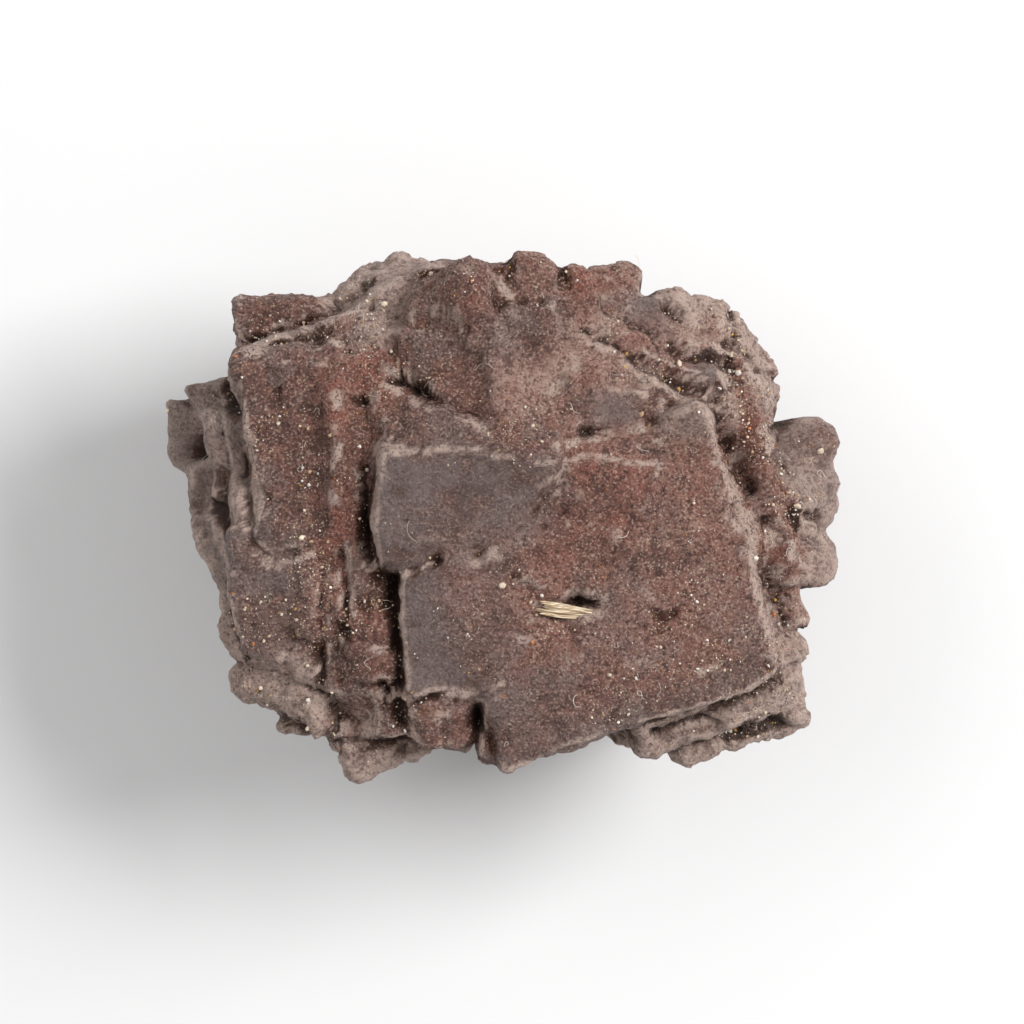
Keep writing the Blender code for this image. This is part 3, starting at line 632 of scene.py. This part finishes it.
def ring_average(points: Array, quads: Array) -> Array:
    """The mean of each point's neighbours along the quads' edges.

    Args:
        points: an (n, k) array of numbers known at each point.
        quads: an (m, 4) array of point numbers.

    Returns:
        The (n, k) means.
    """
    start, end = quads.reshape(-1), np.roll(quads, -1, axis=1).reshape(-1)
    count = np.bincount(start, minlength=len(points))
    sums = [np.bincount(start, points[end, axis], len(points)) for axis in range(points.shape[1])]
    return np.stack(sums, axis=1) / count[:, None]


def grid_normals(points: Array, quads: Array) -> Array:
    """Each point's normal: the sum of its quads' normals, the cross products of their diagonals.

    Args:
        points: an (n, 3) array.
        quads: an (m, 4) array of point numbers.

    Returns:
        The (n, 3) normals, each of length 1.
    """
    a, b, c, d = (points[quads[:, k]] for k in range(4))
    across = np.cross(c - a, d - b)
    sums = [
        sum(np.bincount(quads[:, k], across[:, axis], len(points)) for k in range(4)) for axis in range(3)
    ]
    return unit(np.stack(sums, axis=1))


def make_mesh(name: str, points: Array, faces: Array, smooth: bool = True) -> bpy.types.Object:
    """Put points and faces into a new object's mesh.

    Args:
        name: the object's name.
        points: an (n, 3) array in millimetres.
        faces: an (m, k) array of point numbers, k to a face.
        smooth: whether the faces are shaded smooth.

    Returns:
        The object, linked to the scene, with its mesh in metres.
    """
    mesh = bpy.data.meshes.new(name)
    sides = faces.shape[1]
    mesh.vertices.add(len(points))
    mesh.vertices.foreach_set("co", np.ascontiguousarray(points * MM, np.float32).reshape(-1))
    mesh.loops.add(faces.size)
    mesh.loops.foreach_set("vertex_index", np.ascontiguousarray(faces, np.int32).reshape(-1))
    mesh.polygons.add(len(faces))
    mesh.polygons.foreach_set("loop_start", np.arange(0, faces.size, sides, dtype=np.int32))
    mesh.polygons.foreach_set("use_smooth", np.full(len(faces), smooth))
    mesh.update(calc_edges=True)
    mesh.validate()
    made = bpy.data.objects.new(name, mesh)
    bpy.context.scene.collection.objects.link(made)
    return made


def add_attribute(thing: bpy.types.Object, name: str, values: Array) -> None:
    """Store one number, or one colour of four numbers, on each point of an object's mesh.

    Args:
        thing: the object.
        name: the attribute's name.
        values: an (n,) or (n, 4) array.
    """
    kind, slot = ("FLOAT", "value") if values.ndim == 1 else ("FLOAT_COLOR", "color")
    layer = thing.data.attributes.new(name, kind, "POINT")
    layer.data.foreach_set(slot, np.ascontiguousarray(values, np.float32).reshape(-1))


def settle(piece: bpy.types.Object, dress: bpy.types.Material) -> bpy.types.Object:
    """Dress a piece, let it ride on the stone's one body, and report it.

    Args:
        piece: the object.
        dress: its material.

    Returns:
        The same object.
    """
    piece.data.materials.append(dress)
    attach(piece, "root")
    log.info("%s: %d points, %d faces", piece.name, len(piece.data.vertices), len(piece.data.polygons))
    return piece


@dataclass
class StoneSkin:
    """The stone's visible surface and what is known about each of its points.

    Its grid starts on an outer box round a middle point and is carried in toward an inner box, with short
    steps at the end. Its relief is given by three heights. All lengths are in millimetres.
    """

    cells: tuple[int, int, int] = (190, 152, 52)
    middle: Triple = (0.0, -0.4, 13.5)
    outer: Triple = (36.0, 30.0, 24.0)
    inner: Triple = (13.0, 9.5, 5.0)
    march_steps: int = 36
    careful_after: int = 16
    close_enough: float = 0.02
    even_steps: int = 2
    blur_steps: int = 8
    plate_height: float = 0.11
    grit_height: float = 0.1
    pit_depth: float = 0.12
    shape: StoneShape = field(default_factory=StoneShape)

    def build(self) -> "StoneSkin":
        """Work out the points, normals and masks.

        Returns:
            The skin itself.
        """
        grid, self.quads = box_grid(self.cells)
        self.points = self._march(grid)
        self.normals = grid_normals(self.points, self.quads).astype(np.float32)
        self._roughen()
        self._measure()
        return self

    def _march(self, grid: Array) -> Array:
        """Carry each grid point in from an outer box toward an inner one, by the field's distance each time.

        The rays never cross, so the skin cannot fold. How far each has come is then evened a little.

        Args:
            grid: an (n, 3) array of points on the cube from -1 to 1.

        Returns:
            The (n, 3) points on the stone, in millimetres.
        """
        start = (np.array(self.middle) + grid * np.array(self.outer)).astype(np.float32)
        heading = unit(grid * (np.array(self.inner) - np.array(self.outer))).astype(np.float32)
        gone = np.zeros((len(grid), 1), np.float32)
        active = np.arange(len(grid))
        for step in range(self.march_steps):
            gap = self.shape.distance(start[active] + gone[active] * heading[active])
            gone[active, 0] += (0.9 if step < self.careful_after else 0.6) * gap
            active = active[np.abs(gap) > self.close_enough]
            if not len(active):
                break
        for _ in range(self.even_steps):
            mean = ring_average(gone, self.quads)
            gone += 0.5 * np.clip(mean - gone, -0.6, 0.6)
        return (start + gone * heading).astype(np.float32)

    def _roughen(self) -> None:
        """Push the points along their normals by noise: low plates, grit and pits, less where polished."""
        skins = self.shape.skins(self.points)
        for _ in range(self.blur_steps):
            skins = ring_average(skins, self.quads)
        self.polish, self.rust, self.pale = skins.T
        p = self.points
        rough = 1 - 0.55 * self.polish + 0.3 * self.rust + 0.4 * self.pale
        # Low plates of 2.6 and 1.4 mm, grit of 0.7 mm and pits of 0.9 mm.
        plates = ramp(fractal(p / 2.6, 3, 31), -0.1, 0.02) + ramp(fractal(p / 1.4, 3, 32), 0.08, 0.18)
        grit = fractal(p / 0.7, 3, 33, 0.65)
        pits = ramp(fractal(p / 0.9, 2, 34), 0.4, 0.75)
        relief = rough * (self.plate_height * plates + self.grit_height * grit)
        relief = relief - self.pit_depth * (1 - 0.6 * self.polish) * pits
        relief *= ramp(p[:, 2], 0.1, 1.5)
        # How raised each point is; the colour makes the low points darker, as painted shade in the pits.
        self.raised = ramp(relief, -0.2, 0.3)
        self.points = (p + relief[:, None] * self.normals).astype(np.float32)
        self.normals = grid_normals(self.points, self.quads).astype(np.float32)

    def _measure(self) -> None:
        """Measure from the field how shut in each point is, and how sharply the stone bends there.

        A point is shut in by as much as the distance to the stone falls short of the way gone outward. The
        bend is the field's second difference along the normal.
        """
        p, n = self.points, self.normals
        # How far out to look, in millimetres, and how much each look counts.
        shut = sum(share * np.clip(1 - self.shape.distance(p + reach * n) / reach, 0, 1)
                   for reach, share in ((0.4, 0.3), (1.0, 0.4), (2.2, 0.3)))
        here = self.shape.distance(p, 0)
        bend = sum(
            (self.shape.distance(p + reach * n, 0) + self.shape.distance(p - reach * n, 0) - 2 * here) / reach
            for reach in (0.35, 0.7)
        ) / 2
        # The crevice mask puts painted shade into the colour of shut-in places, and tells where sand lies.
        self.crevice = ramp(shut, 0.14, 0.62)
        # The edge mask lightens sharp bends in the colour: edge wear, and painted highlight along the rims.
        self.edge = ramp(bend, 0.12, 0.45) * (1 - self.crevice)
        self.up = np.clip(n[:, 2], 0, 1)


# ---------------------------------------------------------------- finishes


def linear(colour: str) -> tuple[float, float, float, float]:
    """Turn an sRGB hex colour into linear numbers with an alpha of 1."""
    parts = [int(colour[k : k + 2], 16) / 255 for k in (1, 3, 5)]
    return (*(c / 12.92 if c <= 0.04045 else ((c + 0.055) / 1.055) ** 2.4 for c in parts), 1.0)


def per_mm(size: float) -> float:
    """The pattern scale that repeats every so many millimetres on metre coordinates."""
    return 1 / (size * MM)


def new_material(name: str) -> tuple[bpy.types.Material, bpy.types.NodeTree, bpy.types.Node]:
    """Start a material.

    Args:
        name: the material's name.

    Returns:
        The material, its node tree and its shader.
    """
    made = bpy.data.materials.new(name)
    made.use_nodes = True
    return made, made.node_tree, made.node_tree.nodes["Principled BSDF"]


def add_node(
    tree: bpy.types.NodeTree, kind: str, settings: dict | None = None, out: int = 0, **inputs: object
) -> bpy.types.NodeSocket:
    """Add one shader node with its settings and its inputs.

    Args:
        tree: the node tree.
        kind: the node's type, without the ShaderNode in front.
        settings: attributes of the node to set.
        out: which output is wanted.
        inputs: a value or a socket for each input, by its name with _ for a space or its number after "in".

    Returns:
        The wanted output of the new node.
    """
    node = tree.nodes.new("ShaderNode" + kind)
    for name, value in (settings or {}).items():
        setattr(node, name, value)
    for name, value in inputs.items():
        key = int(name[2:]) if name[:2] == "in" and name[2:].isdigit() else name.replace("_", " ")
        socket = node.inputs[key]
        if isinstance(value, bpy.types.NodeSocket):
            tree.links.new(value, socket)
        else:
            socket.default_value = value
    return node.outputs[out]


@dataclass(frozen=True)
class IronOxideSkin:
    """Goethite and hematite grown in place of pyrite.

    Crystal faces are polished to a satin blue-grey, weathered places are earthy brown, broken ones red, and a
    film of dust lightens the slopes and the edges, partly as painted highlight; crevices, pits and hollows
    get painted shade.
    """

    brown: str = "#7d5043"
    # The stone's darker brown, also used as painted shade in crevices, pits and the hollows of the grain.
    umber_and_shade: str = "#563326"
    red: str = "#b0614a"
    polished: str = "#877571"
    # Dust, laid on the high points of the grain bump, so partly painted highlight.
    dust_and_grain_highlight: str = "#aa7a63"
    # Pale wear and dust, also used as painted highlight on steep flanks, outer walls and edges.
    wear_and_highlight: str = "#e8cabb"
    # Dark specks, and painted shade in the deepest crevices.
    dark_speck_and_shade: str = "#331a10"
    speck: str = "#ead8c0"
    film: str = "#ffeadf"

    def make(self) -> bpy.types.Material:
        """Build the material from layers, each laid over the ones before where its shares say.

        Returns:
            The material.
        """
        made, tree, shader = new_material("iron_oxide_stone")
        share = self._shares(tree)
        tree.links.new(self._colour(tree, share), shader.inputs["Base Color"])

        gloss = add_node(tree, "MapRange", in0=share["polish"], in3=0.76, in4=0.5)
        scatter = add_node(tree, "MapRange", in0=share["grain"], in1=0.35, in2=0.65, in3=-0.08, in4=0.1)
        tree.links.new(add_node(tree, "Math", in0=gloss, in1=scatter), shader.inputs["Roughness"])
        shader.inputs["IOR"].default_value = 1.7
        shine = add_node(tree, "MapRange", in0=share["crevice"], in1=0.0, in2=0.5, in3=0.5, in4=0.12)
        tree.links.new(shine, shader.inputs["Specular IOR Level"])
        # The film of dust scatters light along the surface, which lightens slopes seen at a low angle.
        film = add_node(tree, "MapRange", in0=share["pale"], in3=0.06, in4=0.7)
        tree.links.new(film, shader.inputs["Sheen Weight"])
        shader.inputs["Sheen Roughness"].default_value = 0.35
        shader.inputs["Sheen Tint"].default_value = linear(self.film)

        # Mottling, grain, crumbs and growth lines as bump, finer than the mesh. Heights are in metres.
        last = {}
        for name, height, strength in (
            ("mottle", 0.0006, 0.7), ("grain", 0.0004, 1.0), ("fine", 0.0001, 1.0), ("striae", 0.00004, 0.6)
        ):
            last["Normal"] = add_node(
                tree, "Bump", Height=share[name], Distance=height, Strength=strength, **last
            )
        tree.links.new(last["Normal"], shader.inputs["Normal"])
        return made

    def _shares(self, tree: bpy.types.NodeTree) -> dict[str, bpy.types.NodeSocket]:
        """Make everything that says how much of a layer shows: the masks of the mesh, and patterns.

        Args:
            tree: the node tree.

        Returns:
            Each share's socket, by its name.
        """
        at = add_node(tree, "TexCoord", out=3)
        share = {name: add_node(tree, "Attribute", {"attribute_name": name}, out=2) for name in MASKS}
        # Weathering stains of 6 mm, patches of 3.4 mm, mottling of 1.6 mm, drifts of dust of 1.2 mm, crystal
        # grain of 0.36 mm and crumbs of 0.18 mm.
        for name, size, detail, rough in (
            ("broad", 6.0, 5, 0.6), ("patch", 3.4, 6, 0.7), ("mottle", 1.6, 8, 0.75),
            ("grain", 0.36, 5, 0.75), ("fine", 0.18, 3, 0.6), ("drift", 1.2, 3, 0.5),
        ):
            share[name] = add_node(
                tree, "TexNoise", Vector=at, Scale=per_mm(size), Detail=detail, Roughness=rough
            )
        # Wind-blown dust grains stand about 0.3 mm apart.
        share["dot"] = add_node(tree, "TexVoronoi", Vector=at, Scale=per_mm(0.3))
        # Growth lines on the crystals are 6 mm long and 0.35 mm apart.
        lines = add_node(tree, "Mapping", Vector=at, Rotation=(0.2, 0.1, 0.29), Scale=(160, 2900, 900))
        share["striae"] = add_node(tree, "TexNoise", Vector=lines, Scale=1.0, Detail=3.0)
        return share

    def _colour(
        self, tree: bpy.types.NodeTree, share: dict[str, bpy.types.NodeSocket]
    ) -> bpy.types.NodeSocket:
        """Lay the colours over each other.

        Args:
            tree: the node tree.
            share: each share's socket, by its name.

        Returns:
            The finished colour's socket.
        """
        # Each layer: its colour, then the shares that are multiplied, as (name, low, high, at low, at high).
        layers = (
            (self.brown, (("mottle", 0.4, 0.54, 0, 1),)),
            (self.red, (("rust", 0, 1, 0.15, 1), ("broad", 0.4, 0.54, 0.35, 1))),
            # Dust on the high points of the grain bump: partly dust, partly painted highlight.
            (self.dust_and_grain_highlight, (("grain", 0.5, 0.58, 0, 1), ("drift", 0.3, 0.6, 0.35, 1), ("rust", 0, 1, 1, 0.7))),
            # Painted highlight: steep slopes made lighter, as where light grazes the flanks.
            (self.wear_and_highlight, (("up", 0.85, 0.4, 0.0, 0.4), ("grain", 0.44, 0.56, 0.1, 0.9))),
            (self.polished, (("patch", 0.5, 0.58, 0, 0.7), ("rust", 0, 0.8, 1, 0.2),
                             ("grain", 0.38, 0.52, 0.4, 1))),
            (self.polished, (("polish", 0, 1, 0, 1), ("mottle", 0.4, 0.53, 0.3, 0.9))),
            # The pale share: a film of dust, and painted highlight on the steep outer walls.
            (self.wear_and_highlight, (("pale", 0, 1, 0, 1), ("grain", 0.4, 0.54, 0.35, 0.85))),
            (self.umber_and_shade, (("patch", 0.46, 0.38, 0, 0.45),)),
            # Painted shade: darker where the grain bump is low.
            (self.umber_and_shade, (("grain", 0.48, 0.39, 0, 0.95), ("pale", 0, 1, 1, 0.3), ("polish", 0, 1, 1, 0.4))),
            # Painted shade: darker in the pits of the relief.
            (self.umber_and_shade, (("raised", 0.4, 0.1, 0, 0.7),)),
            # Painted shade: darker in the crevices.
            (self.umber_and_shade, (("crevice", 0.05, 0.42, 0, 0.85),)),
            # Edge wear, and painted highlight along the bends.
            (self.wear_and_highlight, (("edge", 0, 0.75, 0, 0.95), ("grain", 0.38, 0.54, 0.35, 1))),
            (self.wear_and_highlight, (("fine", 0.57, 0.64, 0, 0.6), ("polish", 0, 1, 1, 0.4))),
            (self.dark_speck_and_shade, (("fine", 0.43, 0.35, 0, 0.75), ("polish", 0, 1, 1, 0.4), ("pale", 0, 1, 1, 0.5))),
            # Painted shade: darkest in the deep crevices.
            (self.dark_speck_and_shade, (("crevice", 0.4, 0.95, 0, 0.85),)),
            (self.speck, (("dot", 0.3, 0.16, 0, 0.8), ("drift", 0.52, 0.62, 0, 1),
                          ("up", 0.2, 0.9, 0.1, 0.95), ("polish", 0, 1, 1, 0.15))),
        )
        colour = linear(self.umber_and_shade)
        for above, parts in layers:
            amount = 1.0
            for name, low, high, least, most in parts:
                part = add_node(tree, "MapRange", in0=share[name], in1=low, in2=high, in3=least, in4=most)
                amount = add_node(tree, "Math", {"operation": "MULTIPLY"}, in0=amount, in1=part)
            paint = {"in6": colour, "in7": linear(above)}
            colour = add_node(tree, "Mix", {"data_type": "RGBA"}, out=2, in0=amount, **paint)
        return colour


@dataclass(frozen=True)
class SandFinish:
    """Wind-rounded quartz sand: pale, slightly glassy grains, a few stained ochre."""

    def make(self) -> bpy.types.Material:
        """Build the material, coloured by each grain's own tint.

        Returns:
            The material.
        """
        made, tree, shader = new_material("quartz_sand")
        tint = add_node(tree, "Attribute", {"attribute_name": "tint"})
        tree.links.new(tint, shader.inputs["Base Color"])
        shader.inputs["Roughness"].default_value = 0.42
        shader.inputs["IOR"].default_value = 1.54
        return made


@dataclass(frozen=True)
class StrawFinish:
    """Dry grass straw: pale yellow fibres with darker lines along them."""

    light: str = "#eedfc4"
    dark: str = "#a3805c"

    def make(self) -> bpy.types.Material:
        """Build the material, with fibres 0.11 mm apart running along the splinter.

        Returns:
            The material.
        """
        made, tree, shader = new_material("dry_straw")
        at = add_node(tree, "TexCoord", out=3)
        along = add_node(tree, "Mapping", Vector=at, Rotation=(0, 0, 0.12), Scale=(500, 9000, 9000))
        fibres = add_node(tree, "TexNoise", Vector=along, Scale=1.0, Detail=3.0)
        share = add_node(tree, "MapRange", in0=fibres, in1=0.4, in2=0.62)
        ends = {"in6": linear(self.dark), "in7": linear(self.light)}
        colour = add_node(tree, "Mix", {"data_type": "RGBA"}, out=2, in0=share, **ends)
        tree.links.new(colour, shader.inputs["Base Color"])
        bump = add_node(tree, "Bump", Height=fibres, Distance=0.00004, Strength=0.8)
        tree.links.new(bump, shader.inputs["Normal"])
        shader.inputs["Roughness"].default_value = 0.6
        return made


@dataclass(frozen=True)
class HairFinish:
    """Fine plant hair: near white and soft."""

    colour: str = "#e9ddcf"

    def make(self) -> bpy.types.Material:
        """Build the material.

        Returns:
            The material.
        """
        made, _, shader = new_material("plant_hair")
        shader.inputs["Base Color"].default_value = linear(self.colour)
        shader.inputs["Roughness"].default_value = 0.7
        return made


# ---------------------------------------------------------------- what lies on the stone


class GrainTint(Enum):
    """The colours of loose grains, with how common each is."""

    CREAM = ("#e6d3bb", 0.42)
    WHITE = ("#f4ebe0", 0.2)
    TAN = ("#c9a988", 0.2)
    OCHRE = ("#c99b4e", 0.06)
    ORANGE = ("#c47a45", 0.04)
    DARK = ("#5f4438", 0.08)


@dataclass
class LooseSand:
    """Sand grains caught in the crevices and on the faces that point up: how many, and their radii."""

    sizes: tuple[tuple[int, float, float], ...] = (
        (46, 0.14, 0.25),
        (260, 0.08, 0.14),
        (1100, 0.045, 0.08),
        (3600, 0.028, 0.045),
    )
    patch_size: float = 3.2
    seed: int = 5

    def build(self, skin: StoneSkin) -> bpy.types.Object:
        """Lay the grains on the skin: each is a twenty-sided ball with uneven corners, stretched and turned.

        Args:
            skin: the skin they lie on.

        Returns:
            The grains, as one object.
        """
        rng = np.random.default_rng(self.seed)
        corners, sides = self._ball()
        radii = np.concatenate([rng.uniform(low, high, count) for count, low, high in self.sizes])
        likely = self._likely(skin)
        spots = skin.quads[rng.choice(len(likely), len(radii), p=likely / likely.sum())]
        blend = rng.dirichlet(np.ones(4), len(radii))[..., None]
        normals = unit((skin.normals[spots] * blend).sum(axis=1))
        centres = (skin.points[spots] * blend).sum(axis=1)
        centres += normals * (radii * rng.uniform(0.1, 0.6, len(radii)))[:, None]
        uneven = corners * rng.uniform(0.72, 1.18, (len(radii), len(corners), 1))
        stretch = rng.uniform(0.65, 1.25, (len(radii), 1, 3)) * radii[:, None, None]
        turns = np.linalg.qr(rng.normal(size=(len(radii), 3, 3)))[0]
        turns *= np.linalg.det(turns)[:, None, None]
        points = np.einsum("gij,gkj->gki", turns, uneven * stretch) + centres[:, None]
        faces = sides + len(corners) * np.arange(len(radii))[:, None, None]
        piece = make_mesh("loose_sand", points.reshape(-1, 3), faces.reshape(-1, 3), smooth=False)
        tints = np.array([linear(tint.value[0]) for tint in GrainTint])
        shares = np.array([tint.value[1] for tint in GrainTint])
        picked = tints[rng.choice(len(tints), len(radii), p=shares / shares.sum())]
        picked[:, :3] *= rng.uniform(0.75, 1.05, (len(radii), 1))
        add_attribute(piece, "tint", np.repeat(picked, len(corners), axis=0))
        return settle(piece, SandFinish().make())

    def _likely(self, skin: StoneSkin) -> Array:
        """How likely a grain is on each quad: most in crevices and in patches, least where polished.

        Args:
            skin: the skin they lie on.

        Returns:
            One number for each quad.
        """
        patch = ramp(fractal(skin.points / self.patch_size, 4, 41, 0.7), 0.0, 0.55)
        held = 0.03 + 2.4 * skin.crevice + 2.6 * patch**3
        return (ramp(skin.up, 0.3, 0.95) * held * (1 - 0.8 * skin.polish))[skin.quads].mean(axis=1)

    def _ball(self) -> tuple[Array, Array]:
        """Work out an icosahedron, whose corners are (0, 1, golden ratio) and its turns and reflections.

        Returns:
            Its twelve corners and its twenty sides.
        """
        gold = (1 + math.sqrt(5)) / 2
        corners = np.array([(x, y, z) for y in (-1, 1) for z in (-gold, gold) for x in (0,)])
        corners = unit(np.concatenate([np.roll(corners, k, axis=1) for k in range(3)]))
        apart = np.linalg.norm(corners[:, None] - corners[None], axis=2)
        close = (apart > 0.1) & (apart < 1.1)
        sides = np.array([
            (a, b, c) for a, b, c in np.ndindex(12, 12, 12)
            if a < b < c and close[a, b] and close[b, c] and close[a, c]
        ])
        a, b, c = corners[sides[:, 0]], corners[sides[:, 1]], corners[sides[:, 2]]
        inward = (np.cross(b - a, c - a) * a).sum(axis=1) < 0
        sides[inward] = sides[inward][:, ::-1]
        return corners, sides


def tubes(paths: Array, radii: Array, sides: int) -> tuple[Array, Array]:
    """Round profiles carried along many paths at once.

    Each point is its path's point plus its radius times a unit vector at the angle t around the path.

    Args:
        paths: a (tubes, steps, 3) array in millimetres.
        radii: a (tubes, steps) array in millimetres.
        sides: how many points go round each tube.

    Returns:
        The points and quads, with the ends drawn together to close them.
    """
    count, steps, _ = paths.shape
    along = unit(np.gradient(paths, axis=1))
    side = unit(np.cross(along, (0.1, 0.2, 1.0)))
    other = np.cross(along, side)
    angle = np.linspace(0, 2 * math.pi, sides, endpoint=False)[:, None]
    ring = side[:, :, None] * np.cos(angle) + other[:, :, None] * np.sin(angle)
    points = paths[:, :, None] + radii[:, :, None, None] * ring
    number = np.arange(count * steps * sides).reshape(count, steps, sides)
    near, far = number[:, :-1], number[:, 1:]
    quads = np.stack([near, np.roll(near, -1, 2), np.roll(far, -1, 2), far], axis=-1).reshape(-1, 4)
    return points.reshape(-1, 3), quads


@dataclass
class StrawSplinter:
    """A splinter of dry straw lodged in the pit of the broad plate, in millimetres."""

    middle: Triple = (3.75, -6.1, 28.35)
    length: float = 4.3
    turn: float = -9.0
    strands: int = 9
    steps: int = 28
    seed: int = 3

    def build(self) -> bpy.types.Object:
        """Lay the strands side by side: each is a shallow arc, thick in the middle and pointed at its ends.

        Returns:
            The splinter.
        """
        rng = np.random.default_rng(self.seed)
        along = np.linspace(-1, 1, self.steps)[None]
        offset = np.linspace(-0.38, 0.38, self.strands)[:, None]
        half = self.length / 2 * rng.uniform(0.6, 1.0, (self.strands, 1))
        slide = rng.uniform(-0.35, 0.35, (self.strands, 1))
        x = along * half + slide
        y = offset * (1 - 0.12 * along) + 0.03 * np.sin(2.5 * along + 5 * offset)
        rise = 0.1 * rng.uniform(-1, 1, (self.strands, 1))
        z = rise - 0.18 * along + 0.06 * np.cos(3 * along + 9 * offset)
        paths = np.stack([x, y, z], axis=-1) @ lean_rotation((0, 0), self.turn).T + np.array(self.middle)
        thick = 0.075 * rng.uniform(0.6, 1.25, (self.strands, 1)) * np.clip(1 - along**10, 0.08, 1)
        points, quads = tubes(paths, np.broadcast_to(thick, x.shape), 7)
        return settle(make_mesh("straw_splinter", points, quads), StrawFinish().make())


@dataclass
class PlantHairs:
    """Fine pale hairs lying curled on the stone."""

    count: int = 60
    radius: float = 0.016
    steps: int = 16
    seed: int = 9

    def build(self, skin: StoneSkin) -> bpy.types.Object:
        """Draw each hair as an arc of slowly changing bend over the skin, then lay it down onto the field.

        Args:
            skin: the skin they lie on.

        Returns:
            The hairs, as one object.
        """
        rng = np.random.default_rng(self.seed)
        likely = ramp(skin.up, 0.3, 0.9)
        spots = rng.choice(len(likely), self.count, p=likely / likely.sum(), replace=False)
        length = rng.uniform(0.5, 2.2, (self.count, 1))
        at = np.linspace(0, 1, self.steps)[None]
        heading = rng.uniform(0, 2 * math.pi, (self.count, 1)) + rng.normal(0, 2.2, (self.count, 1)) * at
        heading = heading + rng.normal(0, 1.2, (self.count, 1)) * np.sin(5 * at)
        step = length / self.steps
        x, y = np.cumsum(np.cos(heading) * step, axis=1), np.cumsum(np.sin(heading) * step, axis=1)
        paths = skin.points[spots][:, None] + np.stack([x, y, np.zeros_like(x)], axis=-1)
        flat = paths.reshape(-1, 3).astype(np.float32)
        for _ in range(6):
            flat[:, 2] -= 0.8 * np.clip(skin.shape.distance(flat) - 0.05, -0.5, 0.5)
        paths = flat.reshape(paths.shape)
        thin = np.full((self.count, self.steps), self.radius) * rng.uniform(0.8, 1.3, (self.count, 1))
        points, quads = tubes(paths, thin, 4)
        return settle(make_mesh("plant_hairs", points, quads), HairFinish().make())


# ---------------------------------------------------------------- the studio


@dataclass(frozen=True)
class Studio:
    """A white table under soft light from the right, seen from straight above, in metres and watts.

    The lamps face the lit point, halfway up the stone.
    """

    table: float = 3.0
    camera_height: float = 0.415
    lens: float = 205.0
    aim: tuple[float, float] = (0.00027, 0.00048)
    lit: Triple = (0.0, 0.0, 0.015)
    sky: float = 0.42
    lamps: tuple[tuple[str, Triple, float, float], ...] = (
        ("key", (0.31, 0.12, 0.36), 0.2, 2.1),
        ("fill", (-0.26, 0.1, 0.34), 0.3, 0.42),
    )

    def build(self) -> None:
        """Make the floor, the lights and the camera."""
        self._floor()
        self._sky()
        for lamp in self.lamps:
            self._lamp(*lamp)
        self._camera()
        bpy.context.scene.view_settings.view_transform = "Standard"

    def _floor(self) -> None:
        """A pale square, given by its two parameters x and y."""
        line = np.linspace(-self.table, self.table, 3) / MM / 2
        x, y = np.meshgrid(line, line, indexing="ij")
        points = np.stack([x, y, np.zeros_like(x)], axis=-1).reshape(-1, 3)
        number = np.arange(9).reshape(3, 3)
        quads = np.stack([number[:-1, :-1], number[1:, :-1], number[1:, 1:], number[:-1, 1:]], axis=-1)
        floor = make_mesh("table", points, quads.reshape(-1, 4))
        made, _, shader = new_material("white_card")
        shader.inputs["Base Color"].default_value = linear("#f1f1f1")
        shader.inputs["Roughness"].default_value = 0.9
        floor.data.materials.append(made)

    def _sky(self) -> None:
        """Even white light from all round."""
        world = bpy.data.worlds.new("white_room")
        world.use_nodes = True
        world.node_tree.nodes["Background"].inputs["Color"].default_value = (1, 1, 1, 1)
        world.node_tree.nodes["Background"].inputs["Strength"].default_value = self.sky
        bpy.context.scene.world = world

    def _lamp(self, name: str, at: Triple, size: float, power: float) -> None:
        """A square soft box that faces the stone.

        Args:
            name: the lamp's name.
            at: where it hangs.
            size: the length of its sides.
            power: its power.
        """
        light = bpy.data.lights.new(name, "AREA")
        light.size = size
        light.energy = power
        lamp = bpy.data.objects.new(name, light)
        lamp.location = at
        lamp.rotation_euler = (Vector(self.lit) - lamp.location).to_track_quat("-Z", "Y").to_euler()
        lamp.visible_camera = False
        bpy.context.scene.collection.objects.link(lamp)

    def _camera(self) -> None:
        """A long lens that looks straight down, with +Y at the top of its view."""
        camera = bpy.data.objects.new("camera", bpy.data.cameras.new("camera"))
        camera.data.lens = self.lens
        camera.data.sensor_width = 36
        camera.data.clip_start = 0.01
        camera.location = (*self.aim, self.camera_height)
        bpy.context.scene.collection.objects.link(camera)
        bpy.context.scene.camera = camera


def main() -> None:
    """Build the stone and what lies on it, then the studio."""
    logging.basicConfig(level=logging.INFO, format="%(name)s: %(message)s")
    skin = StoneSkin().build()
    stone = make_mesh("stone_skin", skin.points, skin.quads)
    for name in MASKS:
        add_attribute(stone, name, getattr(skin, name))
    settle(stone, IronOxideSkin().make())
    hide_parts("stone")
    LooseSand().build(skin)
    StrawSplinter().build()
    PlantHairs().build(skin)
    Studio().build()


if __name__ == "__main__":
    main()
